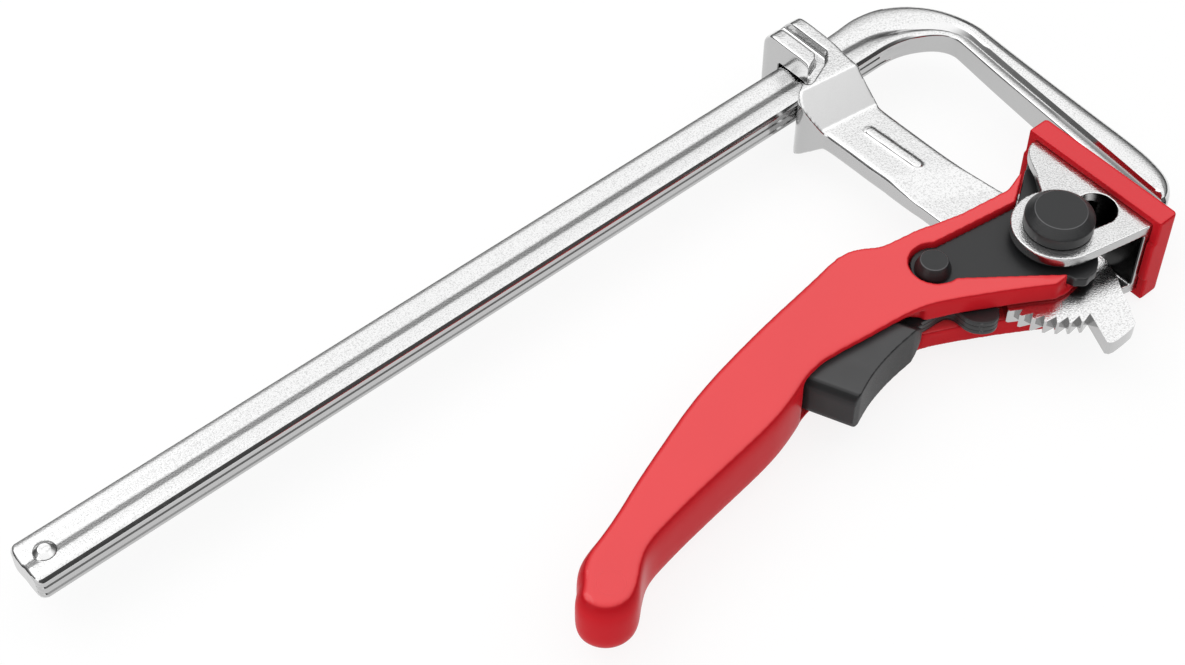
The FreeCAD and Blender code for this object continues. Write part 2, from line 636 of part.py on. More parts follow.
# Grip about the handle rivet, as shares of grip_length, out along the top and back below.
GRIP_TOP_SHARES = [(-0.18, 0.132), (-0.3, 0.115), (-0.438, 0.092), (-0.577, 0.06), (-0.7, 0.018),
                   (-0.786, -0.014), (-0.888, -0.054), (-0.985, -0.102), (-1.0, -0.12)]
GRIP_END_SHARES = [(-1.02, -0.138), (-1.015, -0.168), (-0.998, -0.186), (-0.965, -0.194),
                   (-0.935, -0.184), (-0.91, -0.166), (-0.875, -0.14), (-0.816, -0.122),
                   (-0.67, -0.1), (-0.56, -0.086), (-0.48, -0.072), (-0.42, -0.054), (-0.367, -0.037),
                   (-0.315, -0.034), (-0.226, -0.044)]
# Slot between the prongs about the pivot pin, as shares of lever_reach.
PRONG_SLOT_SHARES = [(0.4, 0.9), (-0.49, 0.9), (-0.49, 0.6), (-0.93, 0.6), (-1.08, 0.54),
                     (-1.15, 0.4), (-1.2, 0.36), (-1.7, 0.36), (-1.7, -0.1), (-1.0, -0.8), (0.4, -0.8)]
# Room for the trigger about the rivet, as shares of trigger_length.
TRIGGER_ROOM_SHARES = [(-0.3, 0.04), (-1.37, 0.225), (-1.37, -0.6), (-0.3, -0.6)]


def make_handle():
    """Red casting: two prongs round the cam plates, then a flat grip with a hooked end."""
    fork_top = spread(FORK_TOP_SHARES, "lever_reach")
    fork_low = spread(FORK_LOW_SHARES, "lever_reach")
    window_top = spread(WINDOW_TOP_SHARES, "lever_reach")
    window_low = spread(WINDOW_LOW_SHARES, "lever_reach")
    grip = about_rivet(GRIP_TOP_SHARES + GRIP_END_SHARES, "grip_length")
    eye = mm("pawl_eye") + mm("window_gap")
    left = plate_end(mm("window_gap"))
    body = body_named("handle")
    sketch = new_sketch(body, "handle_outline")
    outline(sketch, fork_top[:4] + [fork_top[4:] + grip + fork_low[:-1]] + window_low[::-1]
            + [left + window_top[-1]] + window_top[-2::-1])
    pad(body, sketch, "Sizes.handle_thick")
    # The thin floor under the plates, from the window's round end to the lower prong's toe.
    sketch = new_sketch(body, "handle_floor")
    outline(sketch, [window_top[-1], (fork_top[2][0], fork_top[2][1]), fork_top[4]]
            + [(left[0] - eye, rivet_y)] + fork_low[1:] + [(0, fork_low[-1][1] * 0.9)])
    pad(body, sketch, "Sizes.handle_gap + 2 * Sizes.handle_floor")
    sketch = new_sketch(body, "boss_room")
    circle(sketch, (0, 0), "Sizes.boss_radius + 4 * Sizes.plate_gap")
    cut(body, sketch, f"2 * {PLATE_LOW}")
    # The slot between the prongs, for the arm, the teeth and the pawl.
    sketch = new_sketch(body, "prong_slot")
    outline(sketch, spread(PRONG_SLOT_SHARES, "lever_reach"))
    cut(body, sketch, "Sizes.handle_gap")
    sketch = new_sketch(body, "trigger_room")
    outline(sketch, about_rivet(TRIGGER_ROOM_SHARES, "trigger_length"))
    cut(body, sketch, "Sizes.trigger_thick + 2 * Sizes.trigger_gap")
    sketch = new_sketch(body, "rivet_hole")
    circle(sketch, (rivet_x, rivet_y), "Sizes.rivet_radius + Sizes.run_gap")
    cut(body, sketch)
    # The blind hole that holds the upper end of the trigger spring.
    seat = new_sketch(body, "spring_hole", "XZ_Plane")
    circle(seat, (rivet_x - mm("spring_back"), 0),
           "Sizes.spring_radius + Sizes.spring_wire / 2 + Sizes.spring_seat")
    bore_up(body, seat, f"{RIVET_UP} - Sizes.spring_low + Sizes.spring_length + Sizes.spring_seat")


def make_handle_rivet():
    """Rivet with a coned head on each side."""
    body = body_named("handle_rivet")
    shank, head, face = mm("rivet_radius"), mm("rivet_head_radius"), mm("rivet_face_radius")
    top = plate_top + mm("rivet_head_high")
    shoulder = plate_top + mm("rivet_head_high") * 0.25
    turn(body, "rivet_outline", [(0, -top), (face, -top), (head, -shoulder), (head, -plate_top),
                                 (shank, -plate_top), (shank, plate_top), (head, plate_top),
                                 (head, shoulder), (face, top), (0, top)])
    place_at_rivet(body)


def place_at_rivet(item):
    item.setExpression("Placement.Base.x", f"-Sizes.pad_reach + {RIVET_BACK}")
    item.setExpression("Placement.Base.y", RIVET_UP)


# Pawl about the pivot pin, as shares of lever_reach: down its toothed side and round the nose.
PAWL_FRONT_SHARES = [(-0.74, 0.17), (-0.738, -0.035)]
PAWL_NOSE_SHARES = [(-0.792, -0.222), (-0.93, -0.262), (-1.0, -0.226), (-1.036, -0.178),
                    (-1.048, -0.083), (-1.02, 0.04), (-1.11, 0.09)]
# The tail that the trigger holds, about the rivet, as shares of trigger_length: along its lower
# edge, then round its end and back.
TAIL_LOW_SHARES = [(-0.307, -0.232), (-0.468, -0.22), (-0.745, -0.206)]
TAIL_TOP_SHARES = [(-0.745, -0.085), (-0.468, -0.052), (-0.252, -0.075)]


def pawl_points():
    front = spread(PAWL_FRONT_SHARES, "lever_reach")
    nose = spread(PAWL_NOSE_SHARES, "lever_reach")
    tail = about_rivet(TAIL_LOW_SHARES + TAIL_TOP_SHARES, "trigger_length")
    eye = mm("pawl_eye")
    catch = on_circle(mm("tooth_radius") + mm("slide_gap") * 2.5, FIRST_TOOTH_DEG)
    return ([(rivet_x + eye, rivet_y)] + front + [catch] + nose + tail
            + [(rivet_x - eye * 0.94, rivet_y - eye * 0.34)]
            + [(rivet_x - eye * 0.2, rivet_y + eye * 0.98, rivet_x + eye, rivet_y)])


TRIGGER_PIN_SHARES = [(-0.53, -0.135), (-0.68, -0.15)]


def make_pawl_plate(name, number):
    """One stamping of the pawl's stack."""
    body = body_named(name)
    level = f"{number} * Sizes.pawl_thick"
    sketch = new_sketch(body, name + "_outline", level=level)
    outline(sketch, pawl_points())
    pad(body, sketch, "Sizes.pawl_thick")
    sketch = new_sketch(body, name + "_rivet_hole")
    circle(sketch, (rivet_x, rivet_y), "Sizes.rivet_radius + Sizes.run_gap")
    cut(body, sketch)
    for count, centre in enumerate(about_rivet(TRIGGER_PIN_SHARES, "trigger_length")):
        sketch = new_sketch(body, f"{name}_pin_hole_{count}")
        circle(sketch, centre, "Sizes.trigger_pin_radius")
        cut(body, sketch)


# Trigger about the rivet, as shares of trigger_length: along the finger edge, then the top.
TRIGGER_SHARES = [(-0.328, -0.1), (-0.328, -0.24), (-0.345, -0.262), (-0.41, -0.285), (-0.59, -0.325),
                  (-0.75, -0.36), (-0.93, -0.4), (-1.11, -0.44), (-1.2, -0.455), (-1.225, -0.44),
                  (-1.316, -0.17), (-1.316, -0.02), (-0.45, -0.02)]


def make_trigger():
    """Finger piece, slotted for the pawl's tail and bored for the spring."""
    body = body_named("trigger")
    sketch = new_sketch(body, "trigger_outline")
    outline(sketch, about_rivet(TRIGGER_SHARES, "trigger_length"))
    pad(body, sketch, "Sizes.trigger_thick")
    low = about_rivet(TAIL_LOW_SHARES, "trigger_length")
    sketch = new_sketch(body, "tail_slot")
    outline(sketch, [(rivet_x, low[0][1])] + low + [(low[-1][0], rivet_y + over),
                                                    (rivet_x, rivet_y + over)])
    cut(body, sketch, "3 * Sizes.pawl_thick")
    for count, centre in enumerate(about_rivet(TRIGGER_PIN_SHARES, "trigger_length")):
        sketch = new_sketch(body, f"trigger_pin_hole_{count}")
        circle(sketch, centre, "Sizes.trigger_pin_radius")
        cut(body, sketch)
    seat = new_sketch(body, "spring_seat", "XZ_Plane",
                      f"-({RIVET_UP} - Sizes.spring_low - Sizes.spring_seat)")
    circle(seat, (rivet_x - mm("spring_back"), 0),
           "Sizes.spring_radius + Sizes.spring_wire / 2 + Sizes.spring_seat")
    bore_up(body, seat, "Sizes.spring_length")


def make_trigger_pins():
    """Two pins that hold the trigger on the pawl's tail, in one group."""
    pins = []
    for number, (x, y) in enumerate(TRIGGER_PIN_SHARES):
        pin = doc.addObject("Part::Cylinder", f"trigger_pin_{number}")
        pin.setExpression("Radius", "Sizes.trigger_pin_radius")
        pin.setExpression("Height", "Sizes.trigger_thick - 2 * Sizes.trigger_gap")
        pin.setExpression("Placement.Base.z", "-Sizes.trigger_thick / 2 + Sizes.trigger_gap")
        pin.setExpression("Placement.Base.x", f"{RIVET_BACK} + Sizes.trigger_length * {x}")
        pin.setExpression("Placement.Base.y", f"{RIVET_UP} + Sizes.trigger_length * {y}")
        pins.append(pin)
    pair = doc.addObject("Part::Compound", "trigger_pins")
    pair.Links = pins
    add_part(pair)


def make_trigger_spring():
    """Coil spring that pushes the trigger out of the handle."""
    radius, wire = mm("spring_radius"), mm("spring_wire")
    helix = Part.makeHelix(mm("spring_pitch"), mm("spring_length") - wire, radius)
    path = Part.Wire(helix.Edges)
    section = Part.Wire([Part.Circle(vec(radius, 0, 0), vec(0, 1, 0), wire / 2).toShape()])
    coil = path.makePipeShell([section], True, True)
    spring = doc.addObject("Part::Feature", "trigger_spring")
    spring.Shape = coil
    low = rivet_y - mm("spring_low") + wire / 2
    spring.Placement = FreeCAD.Placement(
        vec(rivet_x - mm("spring_back") - mm("pad_reach"), low, 0),
        FreeCAD.Rotation(vec(1, 0, 0), -90))
    parts.append(spring)


make_rail()
make_stop_rivet()
make_sliding_arm()
make_pivot_pin()
make_washers()
make_bracket()
make_pad_cap()
make_cam_plate("cam_plate_front", 1)
make_cam_plate("cam_plate_back", -1)
make_handle()
make_handle_rivet()
make_pawl_plate("pawl_plate_front", 1)
make_pawl_plate("pawl_plate_middle", 0)
make_pawl_plate("pawl_plate_back", -1)
make_trigger()
make_trigger_pins()
make_trigger_spring()
doc.recompute()

for item in doc.Objects:
    if "Invalid" in item.State or "Error" in item.State:
        raise RuntimeError(f"{item.Label} failed: {item.State}")
os.makedirs("parts", exist_ok=True)
for item in parts:
    if item.Shape.isNull() or not item.Shape.isValid():
        raise RuntimeError(f"{item.Label} has a bad shape")
for item in parts:
    item.Shape.exportStep(f"parts/{item.Label}.step")
    box = item.Shape.BoundBox
    print(f"{item.Label}: {len(item.Shape.Solids)} solid, {item.Shape.Volume:.1f} mm3,"
          f" x {box.XMin:.1f} {box.XMax:.1f} y {box.YMin:.1f} {box.YMax:.1f} z {box.ZMin:.1f} {box.ZMax:.1f}")
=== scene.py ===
# %% [markdown]
# A quick release bar clamp, dressed piece by piece.
# The clamp lies flat: a plated bar with a forged jaw, a cast arm that slides on the bar, a red
# lever that turns on a black pin, and a moving pad under a red cap. The frame that is loaded
# first holds every piece at its real size and place. This script gives them their looks.

# %% Load the frame
import json
import math

import bmesh
import bpy
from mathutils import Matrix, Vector

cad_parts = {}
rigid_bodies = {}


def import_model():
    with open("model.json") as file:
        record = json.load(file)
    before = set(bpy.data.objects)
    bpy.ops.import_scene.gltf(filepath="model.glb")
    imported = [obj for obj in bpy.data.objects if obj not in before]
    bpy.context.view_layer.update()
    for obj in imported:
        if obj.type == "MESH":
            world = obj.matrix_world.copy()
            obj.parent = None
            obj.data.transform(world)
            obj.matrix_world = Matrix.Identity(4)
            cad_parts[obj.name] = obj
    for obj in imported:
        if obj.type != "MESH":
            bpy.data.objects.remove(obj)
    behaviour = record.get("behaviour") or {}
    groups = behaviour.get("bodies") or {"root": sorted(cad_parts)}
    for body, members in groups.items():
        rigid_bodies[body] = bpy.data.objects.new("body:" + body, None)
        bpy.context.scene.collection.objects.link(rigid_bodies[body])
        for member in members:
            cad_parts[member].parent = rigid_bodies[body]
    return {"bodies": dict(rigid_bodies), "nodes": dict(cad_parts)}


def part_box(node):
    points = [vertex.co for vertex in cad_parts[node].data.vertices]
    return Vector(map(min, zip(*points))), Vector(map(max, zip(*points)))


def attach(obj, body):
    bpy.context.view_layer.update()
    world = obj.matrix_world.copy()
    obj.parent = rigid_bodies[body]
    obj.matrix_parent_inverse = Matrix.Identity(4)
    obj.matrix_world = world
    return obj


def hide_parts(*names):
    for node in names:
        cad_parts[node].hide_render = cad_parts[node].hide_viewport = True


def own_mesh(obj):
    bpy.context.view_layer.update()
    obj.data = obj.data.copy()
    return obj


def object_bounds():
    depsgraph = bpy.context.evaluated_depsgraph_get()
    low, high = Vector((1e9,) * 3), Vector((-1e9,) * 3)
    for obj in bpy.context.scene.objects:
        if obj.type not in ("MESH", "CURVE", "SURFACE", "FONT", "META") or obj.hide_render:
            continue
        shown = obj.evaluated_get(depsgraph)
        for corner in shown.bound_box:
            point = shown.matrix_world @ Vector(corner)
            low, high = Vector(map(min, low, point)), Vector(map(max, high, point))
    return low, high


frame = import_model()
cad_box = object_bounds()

MM = 0.001
for item in list(bpy.data.objects):
    if item.name not in frame["nodes"] and item not in frame["bodies"].values():
        bpy.data.objects.remove(item)
print("pieces in the frame:", len(frame["nodes"]))

# %% [markdown]
# Camera. The photograph looks down on the clamp from beyond the lever's end. Its place was found
# by setting known lengths against the picture, so the picture's outline and this one agree.

# %% Camera
CAMERA_AT = (-0.24983, -0.149541, 0.297851)
CAMERA_LOOK = (0.4165, 0.4862, -0.7683)
CAMERA_LENS = 69.44


def look_from(name, data, place, look):
    """An object at a place in metres that looks in a direction."""
    made = bpy.data.objects.new(name, data)
    bpy.context.collection.objects.link(made)
    made.location = place
    made.rotation_mode = "QUATERNION"
    made.rotation_quaternion = Vector(look).to_track_quat("-Z", "Y")
    return made


camera = look_from("camera", bpy.data.cameras.new("camera"), CAMERA_AT, CAMERA_LOOK)
camera.data.lens = CAMERA_LENS
camera.data.sensor_width = 36
camera.data.clip_start = 0.01
bpy.context.scene.camera = camera
bpy.context.scene.view_settings.view_transform = "Standard"


# %% [markdown]
# Node trees are easier to read when a node and its inputs are written on one line. One helper
# makes a node, sets its options and fills its inputs, each with a value or with another node's
# output. The short ones below it stand for the nodes that are wanted most.

# %% Helpers: nodes
def empty_tree(owner):
    owner.use_nodes = True
    owner.node_tree.nodes.clear()
    return owner.node_tree


def fill(tree, made, inputs):
    for key, value in inputs.items():
        if isinstance(value, bpy.types.NodeSocket):
            tree.links.new(value, made.inputs[key])
        else:
            made.inputs[key].default_value = value


def node(tree, kind, inputs=None, family="ShaderNode", **options):
    made = tree.nodes.new(family + kind)
    for key, value in options.items():
        setattr(made, key, value)
    fill(tree, made, inputs or {})
    return made


def calc(tree, operation, *values):
    """One sum, of numbers or of other nodes' outputs."""
    return node(tree, "Math", dict(enumerate(values)), operation=operation).outputs[0]


def mask(tree, value, start, full):
    """Zero at start, one at full, straight between."""
    return node(tree, "MapRange", {"Value": value, "From Min": start, "From Max": full}).outputs[0]


def between(tree, factor, low, high):
    """A value between two numbers, by a mask."""
    return node(tree, "MapRange", {"Value": factor, "To Min": low, "To Max": high}).outputs[0]


def blend(tree, factor, one, other):
    """A value between two, each a number or another node's output."""
    return node(tree, "Mix", {"Factor": factor, 2: one, 3: other}).outputs[0]


def tint(tree, factor, one, other):
    """A colour between two, each a colour or another node's output."""
    one, other = (value if isinstance(value, bpy.types.NodeSocket) else (*value, 1)
                  for value in (one, other))
    return node(tree, "Mix", {"Factor": factor, 6: one, 7: other}, data_type="RGBA").outputs[2]


def part_of(tree, vector, axis):
    """One component of a vector."""
    return node(tree, "SeparateXYZ", {"Vector": vector}).outputs[axis]


# %% [markdown]
# Studio. Plated metal has no colour of its own: it shows what stands round it. A photographer
# hangs a wide white sheet over it and keeps the horizon dark, so that every edge that turns away
# draws a dark line. The world does the same: white overhead, dark at the horizon.

# %% World
SKY_STOPS = [(0.0, 0.04), (0.2, 0.06), (0.38, 0.12), (0.56, 0.45), (0.69, 1.0), (0.8, 1.0)]
SKY_STRENGTH = 1.28
world = bpy.data.worlds.new("studio")
bpy.context.scene.world = world
sky = empty_tree(world)
height = part_of(sky, node(sky, "TexCoord").outputs["Generated"], "Z")
shades = node(sky, "ValToRGB", {"Fac": height})
points = shades.color_ramp.elements
while len(points) < len(SKY_STOPS):
    points.new(0.5)
for point, (place, grey) in zip(points, SKY_STOPS):
    point.position = place
    point.color = (grey, grey, grey, 1)
overhead = node(sky, "Background", {"Color": shades.outputs["Color"], "Strength": SKY_STRENGTH})
node(sky, "OutputWorld", {"Surface": overhead.outputs[0]})
print("world ready:", len(points), "shades of sky")

# %% [markdown]
# Floor. The clamp rests on a white sheet. Part of the sheet's white is its own, for the camera
# and for reflections alike, and the rest is lit, so that a soft shadow stays under the clamp.

# %% Floor
FLOOR_SIZE = 6.0
FLOOR_WHITE = (0.98, 0.98, 0.98, 1)
FLOOR_OWN_WHITE = 0.86
floor_mesh = bpy.data.meshes.new("floor")
reach = FLOOR_SIZE / 2
floor_level = cad_box[0].z
corners = ((-reach, -reach), (reach, -reach), (reach, reach), (-reach, reach))
floor_mesh.from_pydata([(x, y, floor_level) for x, y in corners], [], [(0, 1, 2, 3)])
floor = bpy.data.objects.new("floor", floor_mesh)
bpy.context.collection.objects.link(floor)
paper = bpy.data.materials.new("white_paper")
tree = empty_tree(paper)
lit = node(tree, "BsdfDiffuse", {"Color": FLOOR_WHITE}).outputs[0]
own = node(tree, "Emission", {"Color": (1, 1, 1, 1), "Strength": 1.0}).outputs[0]
ray = node(tree, "LightPath").outputs
seen = calc(tree, "MAXIMUM", ray["Is Camera Ray"], ray["Is Glossy Ray"])
seen = calc(tree, "MAXIMUM", seen, ray["Is Transmission Ray"])
share = calc(tree, "MULTIPLY", seen, FLOOR_OWN_WHITE)
mixed = node(tree, "MixShader", {"Fac": share, 1: lit, 2: own}).outputs[0]
node(tree, "OutputMaterial", {"Surface": mixed})
floor_mesh.materials.append(paper)
print("floor at", round(floor_level / MM, 2), "mm")

# %% [markdown]
# Lamps. The key stands beyond the bar, a wide fill faces it, and a third one lights the bar's end
# and the lever's. Each looks at the pivot: name, place in metres, size in metres, watts.

# %% Lamps
LAMPS = [("key_lamp", (-0.35, 0.55, 0.9), 0.7, 1.4), ("fill_lamp", (0.6, -0.5, 0.8), 0.9, 0.5),
         ("end_lamp", (-0.95, 0.0, 0.3), 0.5, 1.1)]
for name, place, size, watts in LAMPS:
    lamp = look_from(name, bpy.data.lights.new(name, "AREA"), place, -Vector(place))
    lamp.data.size = size
    lamp.data.energy = watts
print("lamps:", len(LAMPS))


# %% [markdown]
# Shader groups. Grain, edge wear, turned rings and slow changes of tone show on more than one
# finish here. Each is built once as a group with named inputs, and each material sets its own
# values. A group gives out only heights and masks; the shader itself stays in the material.

# %% Helpers: start a group, give out its results
def new_group(name, inputs, outputs):
    """A node group with (name, value) inputs; a value of None makes a vector input."""
    tree = bpy.data.node_groups.new(name, "ShaderNodeTree")
    for label, value in inputs:
        kind = "NodeSocketVector" if value is None else "NodeSocketFloat"
        socket = tree.interface.new_socket(label, in_out="INPUT", socket_type=kind)
        if value is not None:
            socket.default_value = value
    for label in outputs:
        tree.interface.new_socket(label, in_out="OUTPUT", socket_type="NodeSocketFloat")
    return tree, tree.nodes.new("NodeGroupInput").outputs, tree.nodes.new("NodeGroupOutput").inputs


def give(tree, out, **results):
    for label, result in results.items():
        tree.links.new(result, out[label])


# %% Group: grain of a skin
grain_group, given, out = new_group(
    "skin_grain", [("Place", None), ("Size mm", 0.3), ("Pits", 0.5)], ["Height", "Speckle"])
scale = calc(grain_group, "DIVIDE", 1 / MM, given["Size mm"])
fine = node(grain_group, "TexNoise", {"Vector": given["Place"], "Scale": scale, "Detail": 3.0,
                                      "Roughness": 0.6}).outputs["Fac"]
cells = node(grain_group, "TexVoronoi", {"Vector": given["Place"], "Scale": scale},
             feature="SMOOTH_F1").outputs["Distance"]
give(grain_group, out, Height=blend(grain_group, given["Pits"], fine, cells),
     Speckle=mask(grain_group, fine, 0.34, 0.52))

# %% Group: slow drift of tone, and streaks when it is stretched
drift_group, given, out = new_group(
    "tone_drift", [("Place", None), ("Size mm", 6.0), ("Along", 1.0)], ["Drift"])
scale = calc(drift_group, "DIVIDE", 1 / MM, given["Size mm"])
thin = calc(drift_group, "DIVIDE", 1.0, given["Along"])
stretch = node(drift_group, "CombineXYZ", {"X": thin, "Y": 1.0, "Z": 1.0}).outputs[0]
place = node(drift_group, "VectorMath", {0: given["Place"], 1: stretch}, operation="MULTIPLY")
slow = node(drift_group, "TexNoise", {"Vector": place.outputs[0], "Scale": scale, "Detail": 2.0})
give(drift_group, out, Drift=mask(drift_group, slow.outputs["Fac"], 0.3, 0.7))

# %% Group: wear and painted highlight along edges, and painted shade in hollows
wear_highlight_and_shade_group, given, out = new_group(
    "edge_wear", [("Place", None), ("Start", 0.52), ("Full", 0.62)], ["Wear", "Hollow"])
turned_out = node(wear_highlight_and_shade_group, "NewGeometry").outputs["Pointiness"]
edge = mask(wear_highlight_and_shade_group, turned_out, given["Start"], given["Full"])
broken = node(wear_highlight_and_shade_group, "TexNoise", {"Vector": given["Place"], "Scale": 900.0, "Detail": 2.0})
patchy = mask(wear_highlight_and_shade_group, broken.outputs["Fac"], 0.35, 0.6)
# The hollow mask is painted shade: low pointiness marks creases, which a finish darkens.
give(wear_highlight_and_shade_group, out, Wear=calc(wear_highlight_and_shade_group, "MULTIPLY", edge, patchy),
     Hollow=mask(wear_highlight_and_shade_group, turned_out, 0.49, 0.42))

# %% Group: broad faces, upright sides and the rounds between them
side_group, given, out = new_group(
    "broad_faces", [("Normal", None), ("Start", 0.8), ("Full", 0.95)], ["Broad", "Upright", "Rounded"])
facing = calc(side_group, "ABSOLUTE", part_of(side_group, given["Normal"], "Z"))
broad = mask(side_group, facing, given["Start"], given["Full"])
upright = mask(side_group, facing, 0.65, 0.2)
either = calc(side_group, "MAXIMUM", broad, upright)
give(side_group, out, Broad=broad, Upright=upright,
     Rounded=calc(side_group, "SUBTRACT", 1.0, either))

# %% Group: rings left by a lathe, and one line at a set radius
ring_group, given, out = new_group(
    "turned_rings", [("Place", None), ("Pitch mm", 0.35), ("Edge mm", 4.5)], ["Height", "Edge"])
flat = node(ring_group, "VectorMath", {0: given["Place"], 1: (1, 1, 0)}, operation="MULTIPLY")
radius = node(ring_group, "VectorMath", {0: flat.outputs[0]}, operation="LENGTH").outputs["Value"]
turns = calc(ring_group, "MULTIPLY", radius, 2 * math.pi / MM)
wave = calc(ring_group, "DIVIDE", turns, given["Pitch mm"])
limit = calc(ring_group, "MULTIPLY", given["Edge mm"], MM)
off = calc(ring_group, "ABSOLUTE", calc(ring_group, "SUBTRACT", radius, limit))
give(ring_group, out, Height=calc(ring_group, "SINE", wave),
     Edge=mask(ring_group, off, 0.12 * MM, 0.03 * MM))
print("groups:", [group.name for group in bpy.data.node_groups])


# %% [markdown]
# Finishes. Every material starts the same way: a Principled shader, the object's own
# coordinates, and Bump nodes that add up the heights. The helpers make that start and say
# nothing about colour, so each finish below stays short and is about its own surface.

# %% Helpers: start a finish, place a group, raise the surface
def start_finish(name, slot):
    """Gives the material, its tree, its shader and the outputs of its coordinates."""
    material = bpy.data.materials.new(name)
    material["slot"] = slot
    tree = empty_tree(material)
    shader = node(tree, "BsdfPrincipled")
    node(tree, "OutputMaterial", {"Surface": shader.outputs[0]})
    return material, tree, shader, node(tree, "TexCoord").outputs


def use(tree, group, inputs):
    """Places a shader group and fills its inputs."""
    return node(tree, "ShaderNodeGroup", inputs, family="", node_tree=group).outputs


def raise_by(tree, shader, *layers):
    """Bumps one after another: (height, distance in mm, strength)."""
    below = {}
    for height, distance, strength in layers:
        bump = node(tree, "Bump", {"Height": height, "Distance": distance * MM,
                                   "Strength": strength, **below})
        below = {"Normal": bump.outputs[0]}
    fill(tree, shader, below)


def shade(colour, share):
    return [value * share for value in colour]


# %% [markdown]
# Plating. Bar, arm and bracket are steel and cast iron with bright zinc. Zinc copies what is
# under it: the bar was blasted and shows a fine sparkle, the casting a coarser skin, and the
# bent sheet a sandy grain with polished cut edges. So all of them share one recipe whose values
# differ: grain size, its depth, and how rough the mirror is. The blast reaches the broad faces,
# so the grain fades out on the narrow sides, and the upright sides are darkened as painted shade.
# Inside the bracket's fold, where no light comes, painted shade makes the zinc almost black.

# %% Plated finishes
# Painted shade: upright sides of the zinc are darkened to this share, the inside of the bracket's fold
# to the next.
PAINTED_SIDE_SHADE = 0.68
PAINTED_FOLD_SHADE = 0.08
POLISHED_EDGE = 0.5
STREAK_MM = 2.2


def plated(name, slot, grain_mm, pits, deep, rough, bright, streak=1.0, speck_low=0.72, fold_shade_from=None):
    """Zinc. Deep is a share of the grain's size, fold_shade_from the x, in metres, where the fold's
    painted shade begins.
    """
    material, tree, shader, own = start_finish(name, slot)
    place, facing = own["Object"], own["Normal"]
    faces = use(tree, side_group, {"Normal": facing})
    grain = use(tree, grain_group, {"Place": place, "Size mm": grain_mm, "Pits": pits})
    drift = use(tree, drift_group, {"Place": place, "Size mm": STREAK_MM, "Along": streak})["Drift"]
    wear_and_highlight = use(tree, wear_highlight_and_shade_group, {"Place": place, "Start": 0.51, "Full": 0.56})["Wear"]
    speck = blend(tree, faces["Broad"], 1.0, grain["Speckle"])
    tone = between(tree, speck, bright * speck_low, bright)
    # Painted shade: upright sides are darker.
    tone = calc(tree, "MULTIPLY", tone, between(tree, faces["Upright"], 1.0, PAINTED_SIDE_SHADE))
    # Painted shade inside the bracket's fold: faces turned back, beyond the given x, are darkened.
    if fold_shade_from is not None:
        back = mask(tree, part_of(tree, facing, "X"), -0.5, -0.8)
        deep_in = mask(tree, part_of(tree, place, "X"), fold_shade_from - MM, fold_shade_from)
        fold_shade = between(tree, calc(tree, "MULTIPLY", back, deep_in), 1.0, PAINTED_FOLD_SHADE)
        tone = calc(tree, "MULTIPLY", tone, fold_shade)
    grey = node(tree, "CombineColor", {"Red": tone, "Green": tone, "Blue": tone}).outputs[0]
    dull = between(tree, drift, rough * 0.8, rough * 1.25)
    fill(tree, shader, {"Base Color": grey, "Metallic": 1.0,
                        "Roughness": blend(tree, wear_and_highlight, dull, rough * POLISHED_EDGE)})
    skin = blend(tree, faces["Broad"], 0.5, grain["Height"])
    raise_by(tree, shader, (skin, grain_mm * deep, 1.0))
    return material


bar_plating = plated("bar_plating", "plated_bar", grain_mm=0.28, pits=0.3, deep=0.13, rough=0.14,
                     bright=0.74, streak=12.0, speck_low=0.74)
rivet_plating = plated("rivet_plating", "plated_rivet", grain_mm=0.5, pits=0.2, deep=0.04,
                       rough=0.18, bright=0.74)
cast_plating = plated("cast_plating", "plated_casting", grain_mm=0.36, pits=0.5, deep=0.13,
                      rough=0.17, bright=0.76)
tooth_plating = plated("tooth_plating", "plated_casting", grain_mm=0.32, pits=0.4, deep=0.12,
                       rough=0.16, bright=0.76)
sheet_plating = plated("sheet_plating", "plated_sheet", grain_mm=0.3, pits=0.5, deep=0.18,
                       rough=0.22, bright=0.72, fold_shade_from=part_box("pressure_bracket")[1].x - 3 * MM)
print("platings made, finishes so far:", len(bpy.data.materials))


# %% [markdown]
# Blackened steel. The pin, the rivet and the stamped plates are black oxide under a little oil:
# dark, satin, a shade lighter along the edges, partly from rubbing and partly as a painted
# highlight. The pin's head was turned, so it carries rings; a light line at its rim is a painted
# highlight.

# %% Black finishes
OXIDE, OXIDE_PALE = (0.0135, 0.014, 0.015), (0.0165, 0.017, 0.018)
# The lighter edge colour: partly wear, partly a painted highlight.
OXIDE_WEAR_AND_HIGHLIGHT = (0.09, 0.09, 0.094)


def blackened(name, slot, rough, centre=None, pitch=0.3, edge=4.5):
    """Black oxide. Centre is the axis of a turned face, pitch its rings and edge the radius of a
    painted highlight line, in mm.
    """
    material, tree, shader, own = start_finish(name, slot)
    place = own["Object"]
    drift = use(tree, drift_group, {"Place": place, "Size mm": 7.0})["Drift"]
    wear_and_highlight = use(tree, wear_highlight_and_shade_group, {"Place": place, "Start": 0.53, "Full": 0.6})["Wear"]
    grain = use(tree, grain_group, {"Place": place, "Size mm": 0.22, "Pits": 0.3})
    layers = [(grain["Height"], 0.008, 0.5)]
    if centre is not None:
        to_axis = node(tree, "Mapping", {"Vector": place, "Location": [-c for c in centre]})
        turned = use(tree, ring_group, {
            "Place": to_axis.outputs[0], "Pitch mm": pitch, "Edge mm": edge})
        # Painted highlight: a light line at the turned face's rim.
        wear_and_highlight = calc(tree, "MAXIMUM", wear_and_highlight, turned["Edge"])
        layers.append((turned["Height"], 0.006, 0.5))
    # Edges take the lighter colour, partly as wear and partly as a painted highlight.
    dark = tint(tree, drift, OXIDE, OXIDE_PALE)
    fill(tree, shader, {"Base Color": tint(tree, wear_and_highlight, dark, OXIDE_WEAR_AND_HIGHLIGHT),
                        "Roughness": between(tree, drift, rough * 0.93, rough * 1.07)})
    raise_by(tree, shader, *layers)
    return material


